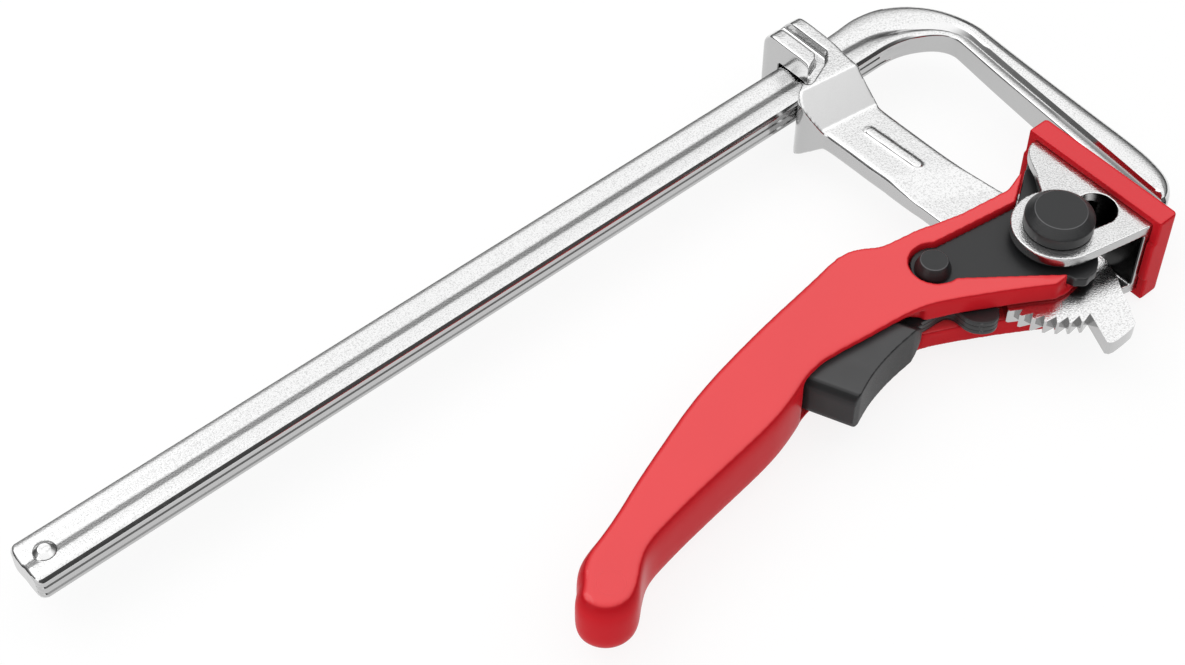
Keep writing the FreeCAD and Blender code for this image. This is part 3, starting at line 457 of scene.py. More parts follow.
def axis_of(name):
    low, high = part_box(name)
    return (low + high) / 2


pin_black = blackened("pin_black", "black_steel", 0.4, axis_of("pivot_pin"))
rivet_black = blackened("rivet_black", "black_steel", 0.38, axis_of("handle_rivet"), pitch=0.22,
                        edge=2.35)
washer_black = blackened("washer_black", "black_steel", 0.45, axis_of("pivot_pin_washer"),
                         pitch=0.5, edge=8.0)
plate_black = blackened("plate_black", "black_plate", 0.4)
print("blacks made, finishes so far:", len(bpy.data.materials))


# %% [markdown]
# Red. The lever is a zinc casting with a thick sprayed coat: it runs over the edges, so it has a
# clear gloss above a faint orange peel. The cap is red plastic, a little duller, with the fine
# texture of its mould. The sides see the white floor at a low angle, where gloss would turn them
# pink, so it is kept for the broad faces. A faint ring shows near the lever's end.

# %% Red finishes
MARK_AT = (-121.8 * MM, -4.4 * MM)
MARK_RADIUS = 2.3
SIDE_COAT = 0.08


def red(name, slot, rough, coat, peel_mm, deep, colour, shaded_red, mark=None):
    material, tree, shader, own = start_finish(name, slot)
    place = own["Object"]
    faces = use(tree, side_group, {"Normal": own["Normal"], "Start": 0.78, "Full": 0.985})
    drift = use(tree, drift_group, {"Place": place, "Size mm": 22.0})["Drift"]
    # Painted shade in creases.
    hollow = use(tree, wear_highlight_and_shade_group, {"Place": place})["Hollow"]
    grain = use(tree, grain_group, {"Place": place, "Size mm": peel_mm, "Pits": 0.2})
    # Painted shade: sides take a darker red, their rounds darker still.
    side = tint(tree, faces["Rounded"], shaded_red, shade(shaded_red, 0.75))
    top = tint(tree, drift, shade(colour, 0.96), colour)
    skin = tint(tree, faces["Broad"], side, top)
    fill(tree, shader, {"Base Color": tint(tree, hollow, skin, shade(shaded_red, 0.6)),
                        "Roughness": between(tree, drift, rough * 0.9, rough * 1.1),
                        "Coat Weight": between(tree, faces["Broad"], coat * SIDE_COAT, coat),
                        "Coat Roughness": 0.1, "Specular IOR Level": 0.02})
    layers = [(grain["Height"], deep, 0.5)]
    if mark is not None:
        to_mark = node(tree, "Mapping", {"Vector": place, "Location": (-mark[0], -mark[1], 0)})
        ring = use(tree, ring_group, {"Place": to_mark.outputs[0], "Edge mm": MARK_RADIUS})
        layers.append((ring["Edge"], 0.03, 0.6))
    raise_by(tree, shader, *layers)
    return material


# The second red of each finish is painted shade for its sides, rounds and creases.
red_coat = red("red_coat", "red_coated", rough=0.32, coat=1.0, peel_mm=1.6, deep=0.015,
               colour=(0.80, 0.045, 0.053), shaded_red=(0.62, 0.014, 0.022), mark=MARK_AT)
red_moulded = red("red_moulded", "red_plastic", rough=0.34, coat=0.8, peel_mm=0.35, deep=0.006,
                  colour=(0.70, 0.02, 0.03), shaded_red=(0.62, 0.012, 0.02))
print("reds made, finishes so far:", len(bpy.data.materials))


# %% [markdown]
# Trigger and spring. The trigger is dark plastic with a satin skin; its rounds are darkened as
# painted shade, and its edges lightened partly as wear and partly as a painted highlight. The
# spring is bright wire, and takes the plating's recipe.

# %% Plastic and wire finishes
PLASTIC, PLASTIC_PALE = (0.044, 0.0445, 0.0455), (0.05, 0.0505, 0.052)
# Painted shade for the rounds, and an edge colour that is partly wear, partly a painted highlight.
PLASTIC_ROUND_SHADE, PLASTIC_WEAR_AND_HIGHLIGHT = (0.016, 0.0165, 0.017), (0.085, 0.085, 0.088)


def moulded(name, slot):
    material, tree, shader, own = start_finish(name, slot)
    place = own["Object"]
    faces = use(tree, side_group, {"Normal": own["Normal"], "Start": 0.85, "Full": 0.98})
    drift = use(tree, drift_group, {"Place": place, "Size mm": 5.0})["Drift"]
    wear_and_highlight = use(tree, wear_highlight_and_shade_group, {"Place": place, "Start": 0.52, "Full": 0.6})["Wear"]
    grain = use(tree, grain_group, {"Place": place, "Size mm": 0.22, "Pits": 0.5})
    # Painted shade on the rounds; edges lighter as wear and as a painted highlight.
    skin = tint(tree, faces["Rounded"], tint(tree, drift, PLASTIC, PLASTIC_PALE), PLASTIC_ROUND_SHADE)
    fill(tree, shader, {"Base Color": tint(tree, wear_and_highlight, skin, PLASTIC_WEAR_AND_HIGHLIGHT),
                        "Roughness": between(tree, grain["Speckle"], 0.36, 0.46),
                        "Coat Weight": between(tree, faces["Broad"], 0.04, 0.75),
                        "Coat Roughness": 0.35, "Specular IOR Level": 0.08})
    raise_by(tree, shader, (grain["Height"], 0.012, 0.5))
    return material


trigger_dark = moulded("dark_moulded", "dark_plastic")
wire_bright = plated("wire_bright", "spring_steel", grain_mm=0.3, pits=0.2, deep=0.03, rough=0.25,
                     bright=0.62)
print("finishes:", len(bpy.data.materials))


# %% [markdown]
# Meshes. A helper turns points and faces in millimetres into a piece, and another applies the
# modifiers that are live on it, so that what rides on a body is a plain mesh at the origin.

# %% Helpers: pieces and the solids they are made from
def piece_from(name, points, faces, unit=MM):
    mesh = bpy.data.meshes.new(name)
    mesh.from_pydata([Vector(point) * unit for point in points], [], faces)
    piece = bpy.data.objects.new(name, mesh)
    bpy.context.collection.objects.link(piece)
    return piece


def bake(piece):
    evaluated = piece.evaluated_get(bpy.context.evaluated_depsgraph_get())
    mesh = bpy.data.meshes.new_from_object(evaluated)
    piece.modifiers.clear()
    old = piece.data
    piece.data = mesh
    bpy.data.meshes.remove(old)
    mesh.name = piece.name
    return piece


def remove(piece):
    mesh = piece.data
    bpy.data.objects.remove(piece)
    bpy.data.meshes.remove(mesh)


def boolean(piece, tool, operation):
    step = piece.modifiers.new("with_tool", "BOOLEAN")
    step.operation = operation
    step.solver = "EXACT"
    step.object = tool
    bake(piece)
    remove(tool)


def closed(name, points, count):
    """A closed solid between rings that hold the same number of points."""
    rings = len(points) // count
    faces = [(r * count + i, r * count + (i + 1) % count, (r + 1) * count + (i + 1) % count,
              (r + 1) * count + i) for r in range(rings - 1) for i in range(count)]
    faces += [tuple(range(count))[::-1], tuple(range((rings - 1) * count, rings * count))]
    piece = piece_from(name, points, faces)
    shell = bmesh.new()
    shell.from_mesh(piece.data)
    bmesh.ops.recalc_face_normals(shell, faces=shell.faces)
    shell.to_mesh(piece.data)
    shell.free()
    return piece


def prism(name, points, low, high):
    """A closed slab: an outline of (x, y) points between two heights, all in millimetres."""
    return closed(name, [(x, y, z) for z in (low, high) for x, y in points], len(points))


def through(values, place):
    """A smooth curve through evenly numbered values."""
    index = min(int(place), len(values) - 2)
    t = place - index
    before, one, two, after = (values[max(0, min(len(values) - 1, index + k))] for k in (-1, 0, 1, 2))
    return 0.5 * (2 * one + (two - before) * t + (2 * before - 5 * one + 4 * two - after) * t ** 2
                  + (3 * one - before - 3 * two + after) * t ** 3)


def curve(points, steps=4):
    """A smooth row of points through a few measured ones."""
    columns = list(zip(*points))
    count = (len(points) - 1) * steps
    return [tuple(through(column, k / steps) for column in columns) for k in range(count + 1)]


def prism_along_y(name, section, low, high, lean=0.0):
    """A closed prism along Y from (x, z) points, which may lean along X as it goes."""
    points = [(x + lean * (y - low), y, z) for y in (low, high) for x, z in section]
    return closed(name, points, len(section))


# %% [markdown]
# Real edges are never sharp. A piece whose shape is right in the frame is copied, its loose
# triangles are merged and its flat faces joined. Then a turned or milled piece has every edge
# that turns more than 30 degrees rounded, and weighted normals keep the flat faces flat beside
# the rounds. A cast, moulded or plated piece gets a skin instead, which melts all its edges.

# %% Helpers: copy a frame piece, soften its edges, finish it
def copy_of(name, source):
    """A copy of a frame piece, its triangles merged into the faces they came from."""
    shell = bmesh.new()
    shell.from_mesh(frame["nodes"][source].data)
    bmesh.ops.remove_doubles(shell, verts=shell.verts, dist=0.002 * MM)
    bmesh.ops.dissolve_limit(shell, angle_limit=math.radians(0.5), verts=shell.verts,
                             edges=shell.edges)
    shell.verts.index_update()
    points = [vert.co.copy() for vert in shell.verts]
    faces = [[vert.index for vert in face.verts] for face in shell.faces]
    shell.free()
    return piece_from(name, points, faces, unit=1.0)


def soften(piece, width, segments=3, angle=30):
    step = piece.modifiers.new("round_edges", "BEVEL")
    step.width = width * MM
    step.segments = segments
    step.limit_method = "ANGLE"
    step.angle_limit = math.radians(angle)
    step.use_clamp_overlap = True
    step.miter_outer = "MITER_ARC"
    return bake(piece)


def shade_smooth(piece):
    piece.data.polygons.foreach_set("use_smooth", [True] * len(piece.data.polygons))
    return piece


def melt(piece, turns, group=""):
    """Evens a mesh out, only within a vertex group if one is named."""
    step = piece.modifiers.new("melt", "SMOOTH")
    step.factor = 0.5
    step.iterations = turns
    step.vertex_group = group
    return bake(piece)


def skin_over(piece, voxel, turns):
    """Melts every edge: a remesh with cells of so many millimetres, then evened out."""
    step = piece.modifiers.new("skin", "REMESH")
    step.mode = "VOXEL"
    step.voxel_size = voxel * MM
    return shade_smooth(melt(piece, turns))


def smooth_faces(piece, sharp=38):
    shade_smooth(piece)
    piece.data.set_sharp_from_angle(angle=math.radians(sharp))
    step = piece.modifiers.new("even_normals", "WEIGHTED_NORMAL")
    step.keep_sharp = True
    step.weight = 80
    return bake(piece)


def finish_piece(piece, body, material, *nodes):
    """Gives a piece its finish and its body, and hides the frame pieces it stands for."""
    piece.data.materials.clear()
    piece.data.materials.append(material)
    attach(piece, body)
    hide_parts(*nodes)
    triangles = sum(len(face.vertices) - 2 for face in piece.data.polygons)
    print(f"{piece.name}: {triangles} triangles on {body}")


# %% [markdown]
# Bar and jaw. They are one forging: flat bar, bent, then drawn into a jaw whose wide faces carry
# a deep groove beside the pressing face. Pads and cuts would leave hard steps in the bend, so the
# piece is lofted: stations along the bend each say where the inner and the outer edge run, and
# how far the bar's section has turned into the jaw's. The bar's faces are hollowed a little, as
# rolled bar is, which gives the long bright and dark bands.

# %% Sections of the bar and the jaw
rail_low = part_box("rail")[0] / MM
BAR_IN, BAR_OUT = 54.4, 63.9
BAR_HALF = 2.75
JAW_HALF = 3.75
BAR_SIDE = [(0, 0), (0, 0.54), (0.2, 0.79), (0.2, 0.95), (0, 1.17), (0, 1.7), (0.1, 1.98),
            (0.52, 2.58), (1.15, 2.75)]
BAR_TOP = [(1.7, 2.75), (2.7, 2.75), (3.2, 2.74), (3.6, 2.69), (4.55, 2.45), (4.95, 2.4),
           (5.4, 2.41), (6.9, 2.69), (7.2, 2.73), (7.5, 2.75), (7.9, 2.75)]
JAW_RIB = [(0, 0), (0, 0.8), (0, 1.6), (0, 2.5), (0.06, 2.85), (0.18, 3.05), (0.34, 3.17),
           (0.55, 3.2)]
JAW_GROOVE = [(0.95, 3.2), (1.25, 3.15), (1.42, 2.9), (1.5, 2.0), (1.58, 1.62), (1.75, 1.55),
              (2.2, 2.2), (2.78, 3.1), (3.05, 3.5)]


def bar_section(width):
    """Upper half from the inner narrow side to the outer one: (distance from inner side, height)."""
    mirrored = [(width - across, high) for across, high in reversed(BAR_SIDE)]
    return BAR_SIDE + BAR_TOP + mirrored


def jaw_section(width, half):
    """The same number of points: rib, groove, then the broad crowned face."""
    face = [(0.55 * width, 3.72), (0.66 * width, 3.75), (width - 2.2, 3.72), (width - 1.6, 3.62)]
    back = [(width - 1.15, 3.45), (width - 0.75, 3.18), (width - 0.42, 2.78), (width - 0.2, 2.3),
            (width - 0.06, 1.7)]
    end = [(width, 1.1), (width, 0.6), (width, 0)]
    whole = JAW_RIB + JAW_GROOVE + face + back + end
    return [(across, high * half / JAW_HALF) for across, high in whole]


print("section points:", len(bar_section(BAR_OUT - BAR_IN)), len(jaw_section(8.0, JAW_HALF)))

# %% [markdown]
# The stations run from the bar's free end, round the bend, to the tip. Each is the inner edge's
# point, the outer edge's point and the share of the jaw's section. A smooth curve through the
# stations gives the rings between them. The free end is rounded by rings that are drawn in.

# %% Loft the bar and the jaw
STATIONS = [(-12.0, BAR_IN, -12.5, BAR_OUT, 0.0), (-8.5, BAR_IN, -10.0, BAR_OUT, 0.0),
            (-5.5, 54.4, -6.5, 64.1, 0.04), (-3.0, 54.4, -1.8, 64.4, 0.12),
            (-0.5, 54.2, 3.2, 63.6, 0.28), (2.1, 53.6, 7.2, 61.7, 0.46),
            (4.5, 52.6, 10.6, 58.9, 0.64), (6.8, 51.2, 13.2, 55.4, 0.8),
            (8.4, 49.6, 14.9, 51.2, 0.92), (9.25, 47.6, 15.6, 47.2, 0.98),
            (9.1, 45.0, 15.45, 43.6, 1.0), (8.0, 36.0, 14.9, 35.4, 1.0),
            (6.4, 21.0, 14.1, 20.6, 1.0), (4.9, 6.8, 13.4, 6.8, 1.0), (4.25, 1.2, 12.5, 0.9, 1.0),
            (3.95, -1.8, 11.2, -2.6, 1.0), (3.7, -3.8, 9.4, -4.6, 1.0), (3.6, -5.0, 7.8, -5.5, 1.0)]
STEPS_BETWEEN = 4
TIP_CHAMFER = 0.7
TIP_IN, TIP_OUT = (0.5, -0.6), (-0.5, -0.5)


def ring_at(inner, outer, share, draw_in=0.0, draw_down=0.0):
    """One closed section between an inner and an outer point, narrower and thinner on request."""
    inner, outer = Vector((*inner, 0)), Vector((*outer, 0))
    width = (outer - inner).length
    along = (outer - inner).normalized()
    fall = max(0.0, min(1.0, (BAR_IN - inner.y) / (BAR_IN - rail_low.y)))
    half = BAR_HALF + (JAW_HALF - BAR_HALF) * fall
    upper = [(a * (1 - share) + b * share, c * (1 - share) + d * share)
             for (a, c), (b, d) in zip(bar_section(width), jaw_section(width, half))]
    draw_x, draw_z = (width - 2 * draw_in) / width, (half - draw_down) / half
    upper = [(draw_in + across * draw_x, high * draw_z) for across, high in upper]
    whole = upper + [(across, -high) for across, high in reversed(upper[1:-1])]
    return [inner + along * across + Vector((0, 0, high)) for across, high in whole]


def loft(name, rings):
    return closed(name, [point for ring in rings for point in ring], len(rings[0]))


END_ROUND = [(0.0, 1.25, 0.55), (0.18, 0.72, 0.3), (0.5, 0.28, 0.12), (1.1, 0.0, 0.0)]
rings = [ring_at((rail_low.x + back, BAR_IN), (rail_low.x + back, BAR_OUT), 0.0, draw_in, draw_down)
         for back, draw_in, draw_down in END_ROUND]
for ix, iy, ox, oy, share in curve(STATIONS, STEPS_BETWEEN):
    rings.append(ring_at((ix, iy), (ox, oy), share))
ix, iy, ox, oy, share = STATIONS[-1]
rings.append(ring_at((ix + TIP_IN[0], iy + TIP_IN[1]), (ox + TIP_OUT[0], oy + TIP_OUT[1]), share,
                     TIP_CHAMFER, TIP_CHAMFER))
finish_piece(smooth_faces(loft("rail_forging", rings), sharp=32), "rail", bar_plating, "rail")

# %% [markdown]
# Stop rivet. A domed rivet near the bar's end keeps the arm from sliding off.

# %% Stop rivet
dome = soften(copy_of("stop_rivet", "end_stop_rivet"), width=0.35, segments=4)
finish_piece(smooth_faces(dome), "rail", rivet_plating, "end_stop_rivet")

# %% [markdown]
# Sliding arm. It is cast, so nothing on it is crisp: sleeve, foot, ridges and rib all melt into
# each other. It starts as a loft down the arm. Each station is a height along the arm, the rear
# and the front edge there, half the thickness, how far the section leans, and its corners' radius.

# %% Loft the cast arm
ARM_RINGS = [(69.2, -19.9, -14.2, 4.0, 0, 1.6), (68.7, -20.7, -13.6, 5.8, 0, 1.0),
             (67.6, -21.1, -13.3, 7.2, 0, 0.7), (66.3, -21.2, -13.2, 8.0, 0, 0.5),
             (62.0, -21.2, -13.2, 8.0, 0, 0.4), (58.0, -21.2, -13.4, 8.0, -0.05, 0.4),
             (55.6, -21.9, -13.8, 8.0, -0.12, 0.5), (53.8, -24.0, -14.0, 8.0, -0.2, 0.6),
             (52.2, -26.5, -14.1, 8.0, -0.2, 0.7), (50.6, -28.0, -14.2, 7.9, -0.16, 0.8),
             (49.0, -28.4, -14.3, 6.9, -0.14, 0.8), (47.2, -27.9, -14.2, 5.0, -0.12, 0.7),
             (45.6, -27.3, -14.2, 2.5, -0.12, 0.5), (44.3, -27.0, -14.2, 2.2, -0.12, 1.0),
             (38.0, -26.8, -14.1, 2.2, -0.15, 1.15), (32.0, -26.7, -14.0, 2.2, -0.35, 1.15),
             (27.6, -26.5, -13.8, 2.2, -0.5, 1.1), (26.2, -26.5, -13.7, 2.1, -0.53, 0.9),
             (20.8, -26.5, -12.8, 1.55, -0.52, 0.4), (19.2, -26.4, -12.5, 1.5, -0.5, 0.4),
             (14.5, -26.2, -11.6, 1.48, -0.25, 0.4), (11.5, -26.0, -11.0, 1.46, 0, 0.4)]
ARM_MIDDLE = -20.0
RING_STEPS = 3
CORNER_STEPS = 4


def arm_ring(y, rear, front, half, lean, corner):
    points = []
    corners = ((front, half, 0), (rear, half, 90), (rear, -half, 180), (front, -half, 270))
    for x, z, start in corners:
        inner_x = x - corner if x == front else x + corner
        inner_z = z - corner if z > 0 else z + corner
        for step in range(CORNER_STEPS + 1):
            turn = math.radians(start + 90 * step / CORNER_STEPS)
            along = inner_x + corner * math.cos(turn)
            points.append((along, y + lean * (along - ARM_MIDDLE), inner_z + corner * math.sin(turn)))
    return points


rings = [arm_ring(*station) for station in curve(ARM_RINGS, RING_STEPS)]
cast_arm = loft("cast_arm", rings)
print("arm rings:", len(rings))

# %% [markdown]
# A plane slope takes the sleeve down to the thin arm. The opening for the bar and the groove
# between the sleeve's two ridges are cut, and the rib on each face is added. Then a voxel remesh
# with some smoothing flows over every edge at once, as the casting's skin and the plating do.

# %% Opening, groove, rib and skin
OPENING_GAP = 0.3
SLOPE = [(45.5, 2.2), (54.0, 10.0), (40.0, 10.0), (40.0, 2.35)]
SLOPE_LEAN = -0.12
CUT_REAR, CUT_FRONT, CUT_HIGH = -40, 0, 10
GROOVE_X = -17.0
GROOVE_PATH = [(GROOVE_X, 75.0), (GROOVE_X, 57.6), (-18.4, 56.2), (-24.0, 53.9)]
GROOVE_HALF = 1.1
GROOVE_FLOOR = 5.7
RIB_TOP, RIB_LOW = (-20.4, 40.8), (-19.9, 29.4)
RIB_HALF, RIB_HEIGHT = 0.95, 2.75
ARC_PARTS = 8


def stadium(name, start, end, half, low, high):
    """A slab with round ends between two points."""
    run = Vector(end) - Vector(start)
    base = math.atan2(run.y, run.x)
    points = []
    for centre, first in ((end, base - math.pi / 2), (start, base + math.pi / 2)):
        for step in range(ARC_PARTS + 1):
            turn = first + math.pi * step / ARC_PARTS
            points.append((centre[0] + half * math.cos(turn), centre[1] + half * math.sin(turn)))
    return prism(name, points, low, high)


def wedge(name, section, lean, side):
    """A long prism along X with its section given as (y, z), leaning like the slope."""
    points = [(x, y + lean * (x - ARM_MIDDLE), side * z) for x in (CUT_REAR, CUT_FRONT)
              for y, z in section]
    return closed(name, points, len(section))


for side in (1, -1):
    boolean(cast_arm, wedge("slope_cut", SLOPE, SLOPE_LEAN, side), "DIFFERENCE")
low, high = BAR_IN - OPENING_GAP, BAR_OUT + OPENING_GAP
corners = [(CUT_REAR, low), (CUT_FRONT, low), (CUT_FRONT, high), (CUT_REAR, high)]
opening = prism("opening", corners, -BAR_HALF - OPENING_GAP, BAR_HALF + OPENING_GAP)
boolean(cast_arm, opening, "DIFFERENCE")
for low, high in ((GROOVE_FLOOR, CUT_HIGH), (-CUT_HIGH, -GROOVE_FLOOR)):
    for start, end in zip(GROOVE_PATH, GROOVE_PATH[1:]):
        boolean(cast_arm, stadium("trough", end, start, GROOVE_HALF, low, high), "DIFFERENCE")
rib = stadium("rib", RIB_TOP, RIB_LOW, RIB_HALF, -RIB_HEIGHT, RIB_HEIGHT)
boolean(cast_arm, soften(rib, width=0.35), "UNION")
skin_over(cast_arm, voxel=0.24, turns=4)
finish_piece(cast_arm, "carriage", cast_plating, "sliding_arm")

# %% [markdown]
# Toothed end. The teeth are gaps milled at an even pitch round the pin, so they are made that
# way: Geometry Nodes turns one cutter about the pin as many times as there are teeth and takes
# the lot away from the blank. The cutter leans, which makes the teeth hold in one direction.

# %% Blank and cutter for the teeth
PIN = axis_of("pivot_pin_washer") / MM
TOOTH_RADIUS = 16.3
TOOTH_DEEP = 1.35
TEETH = 7
FIRST_TOOTH = 195.0
LAST_ROOT = 247.6
PLATE_HALF = 1.5
BOSS_RADIUS = 7.0
BOSS_HALF = 2.7
PIN_HOLE_RADIUS = 3.45
CUTTER_HALF = 2.5
CLEAR_THROUGH = 9


def polar(radius, degrees):
    turn = math.radians(degrees)
    return (radius * math.cos(turn), radius * math.sin(turn))


def arc(radius, start, end, step=2.0):
    count = int((end - start) / step) + 1
    return [polar(radius, start + (end - start) * k / (count - 1)) for k in range(count)]


def round_pin(points):
    return [(PIN.x + x, PIN.y + y) for x, y in points]


def disc(name, radius, half):
    """A round slab about the pin, with a corner every 4 degrees."""
    return prism(name, round_pin(arc(radius, 0, 356, step=4)), -half, half)


HOOK_END = [(-8.3, -19.9), (-7.9, -20.5), (-7.0, -20.75), (-4.5, -20.75), (-2.4, -20.6),
            (-1.4, -20.2), (-0.9, -19.3)]
FRONT_EDGE = [(0.7, -17.1), (2.3, -13.9), (4.2, -11.2), (5.5, -8.0), (5.9, 0.0), (5.8, 13.0)]
REAR_EDGE = [(-9.6, 13.0), (-9.0, 8.0), (-8.0, 3.0), (-9.5, 0.0), (-13.8, -1.6)]
outline = round_pin(arc(TOOTH_RADIUS, FIRST_TOOTH, LAST_ROOT) + HOOK_END + FRONT_EDGE + REAR_EDGE)
sector = prism("toothed_sector", outline, -PLATE_HALF, PLATE_HALF)
boolean(sector, disc("boss", BOSS_RADIUS, BOSS_HALF), "UNION")
boolean(sector, disc("pin_hole", PIN_HOLE_RADIUS, CLEAR_THROUGH), "DIFFERENCE")

pitch = (LAST_ROOT - FIRST_TOOTH) / TEETH
beyond = TOOTH_RADIUS + 1.0
gap = [polar(TOOTH_RADIUS, pitch / 5), (beyond, 0.3), polar(beyond, pitch),
       polar(TOOTH_RADIUS - TOOTH_DEEP, pitch)]
cutter = prism("tooth_cutter", gap, -CUTTER_HALF, CUTTER_HALF)
print("tooth pitch:", round(pitch, 2), "degrees")


# %% Geometry Nodes: cut the teeth
def geometry_tree(name, inputs):
    """A modifier tree with named inputs: (name, socket type, value)."""
    tree = bpy.data.node_groups.new(name, "GeometryNodeTree")
    tree.is_modifier = True
    tree.interface.new_socket("Geometry", in_out="INPUT", socket_type="NodeSocketGeometry")
    tree.interface.new_socket("Geometry", in_out="OUTPUT", socket_type="NodeSocketGeometry")
    for label, kind, value in inputs:
        socket = tree.interface.new_socket(label, in_out="INPUT", socket_type=kind)
        if value is not None:
            socket.default_value = value
    return tree, tree.nodes.new("NodeGroupInput").outputs, tree.nodes.new("NodeGroupOutput").inputs


def geo(tree, kind, inputs=None, **options):
    return node(tree, kind, inputs, family="", **options).outputs


def end_tree(tree, out, geometry, finish):
    """Every tree ends in real geometry that carries its finish."""
    real = geo(tree, "GeometryNodeRealizeInstances", {"Geometry": geometry})["Geometry"]
    painted = geo(tree, "GeometryNodeSetMaterial", {"Geometry": real, "Material": finish})
    give(tree, out, Geometry=painted["Geometry"])


def run_tree(piece, tree, values):
    """Puts a tree on a piece, sets its inputs by their identifiers and bakes the result."""
    step = piece.modifiers.new(tree.name, "NODES")
    step.node_group = tree
    for item in tree.interface.items_tree:
        if item.item_type == "SOCKET" and item.in_out == "INPUT" and item.name in values:
            step[item.identifier] = values[item.name]
    return bake(piece)


teeth_tree, given, out = geometry_tree("cut_teeth", [
    ("Cutter", "NodeSocketObject", None), ("Teeth", "NodeSocketInt", 5),
    ("First", "NodeSocketFloat", 0.0), ("Pitch", "NodeSocketFloat", 0.1),
    ("Axis", "NodeSocketVector", None), ("Finish", "NodeSocketMaterial", None)])
spots = geo(teeth_tree, "GeometryNodeMeshLine", {
    "Count": given["Teeth"], "Offset": (0, 0, 0), "Start Location": given["Axis"]})["Mesh"]
number = geo(teeth_tree, "GeometryNodeInputIndex")["Index"]
angle = calc(teeth_tree, "MULTIPLY_ADD", number, given["Pitch"], given["First"])
turned = node(teeth_tree, "CombineXYZ", {"Z": angle}).outputs[0]
tool = geo(teeth_tree, "GeometryNodeObjectInfo", {"Object": given["Cutter"]})["Geometry"]
tools = geo(teeth_tree, "GeometryNodeInstanceOnPoints", {
    "Points": spots, "Instance": tool, "Rotation": turned})["Instances"]
real = geo(teeth_tree, "GeometryNodeRealizeInstances", {"Geometry": tools})["Geometry"]
cut = geo(teeth_tree, "GeometryNodeMeshBoolean", {"Mesh 1": given["Geometry"], "Mesh 2": real},
          operation="DIFFERENCE", solver="EXACT")["Mesh"]
end_tree(teeth_tree, out, cut, given["Finish"])
run_tree(sector, teeth_tree, {"Cutter": cutter, "Teeth": TEETH, "First": math.radians(FIRST_TOOTH),
                              "Pitch": math.radians(pitch), "Axis": (PIN.x * MM, PIN.y * MM, 0.0),
                              "Finish": tooth_plating})
remove(cutter)
finish_piece(smooth_faces(soften(sector, width=0.1, segments=2)), "carriage", tooth_plating,
             "sliding_arm")

# %% [markdown]
# Pin, washers and rivet. Turned parts: the frame has their profiles, and a small round on each
# edge makes the thin bright ring round the pin's face, with a painted highlight line at its rim in
# the black finish. Each row is a piece, the frame piece it copies, the round's width in mm, its
# steps, the least turn in degrees, its body and its finish.

# %% Turned parts
TURNED = [("pin", "pivot_pin", 0.18, 3, 20, "carriage", pin_black),
          ("tail_washer", "pivot_pin_washer", 0.12, 2, 30, "carriage", washer_black),
          ("spacers", "spacer_washers", 0.12, 2, 30, "carriage", washer_black),
          ("lever_rivet", "handle_rivet", 0.22, 3, 20, "lever", rivet_black)]
for name, source, width, segments, angle, body, material in TURNED:
    turned_part = soften(copy_of(name, source), width, segments, angle)
    finish_piece(smooth_faces(turned_part), body, material, source)

# %% [markdown]
# Bracket and cap. The bracket is sheet steel cut and bent to a U, so its cut edges are rounded
# a little by the plating. The cap is moulded and pushed over its web.

# %% Bracket and cap
bracket = skin_over(copy_of("bracket", "pressure_bracket"), voxel=0.2, turns=5)
finish_piece(bracket, "pad", sheet_plating, "pressure_bracket")
cap = skin_over(copy_of("cap", "pad_cap"), voxel=0.22, turns=8)
finish_piece(cap, "pad", red_moulded, "pad_cap")

# %% [markdown]
# Cam plates and pawl. All are stamped from black plate. The pawl is three stampings side by
# side, which shows as fine lines across its nose. The nose is hooked, so a curved waste comes off.

# %% Stamped plates
for side in ("front", "back"):
    plate = skin_over(copy_of(f"cam_{side}", f"cam_plate_{side}"), voxel=0.2, turns=3)
    finish_piece(plate, "lever", plate_black, f"cam_plate_{side}")
PAWL_NOSE = [(-45.6, 3.4), (-43.4, 3.1), (-41.4, 3.0), (-39.8, 2.6), (-39.1, 1.5), (-39.05, 0.1),
             (-39.0, -1.2), (-38.5, -2.5), (-37.3, -3.8), (-35.7, -4.5), (-34.2, -4.1), (-33.3, -3.0)]
WASTE_OUTSIDE = [(-30, -3), (-30, -9), (-45.6, -9)]
for layer in ("front", "middle", "back"):
    plate = copy_of(f"pawl_{layer}", f"pawl_plate_{layer}")
    waste = prism("nose_waste", curve(PAWL_NOSE) + WASTE_OUTSIDE, -CLEAR_THROUGH, CLEAR_THROUGH)
    boolean(plate, waste, "DIFFERENCE")
    skin_over(plate, voxel=0.12, turns=4)
    finish_piece(plate, "pawl", plate_black, f"pawl_plate_{layer}")

# %% [markdown]
# Lever. A casting with a thick red coat, so its edges are rounded by more than a millimetre. The
# walls beside the trigger thicken again toward the fork over a short ramp.

# %% Lever
ROOM_RAMP = [(-48.9, 4.45), (-48.9, 5.5), (-44.6, 5.5), (-44.6, 1.75), (-45.4, 1.9), (-46.6, 2.7),
             (-47.9, 3.9)]
RAMP_FROM, RAMP_TO = 4.2, 9.0
lever = copy_of("lever", "handle")
for side in (1, -1):
    section = [(x, side * z) for x, z in ROOM_RAMP]
    boolean(lever, prism_along_y("room_ramp", section, RAMP_FROM, RAMP_TO), "UNION")
skin_over(lever, voxel=0.3, turns=18)
print("lever points:", len(lever.data.vertices))

# %% [markdown]
# The grip is softer than the fork. Its sides bulge a little between the two flat faces, and its
# end swells into a small knob. The flat faces keep their outline.

# %% Knob and soft grip
GRIP_FROM, GRIP_FULL, GRIP_OUT = -46.0, -60.0, 0.4
KNOB_FROM, KNOB_FULL, KNOB_OUT = -117.0, -122.5, 0.9
GRIP_TURNS = 45


def fade(value, start, full):
    """Zero at start, one at full, smooth between."""
    t = max(0.0, min(1.0, (value - start) / (full - start)))
    return t * t * (3 - 2 * t)


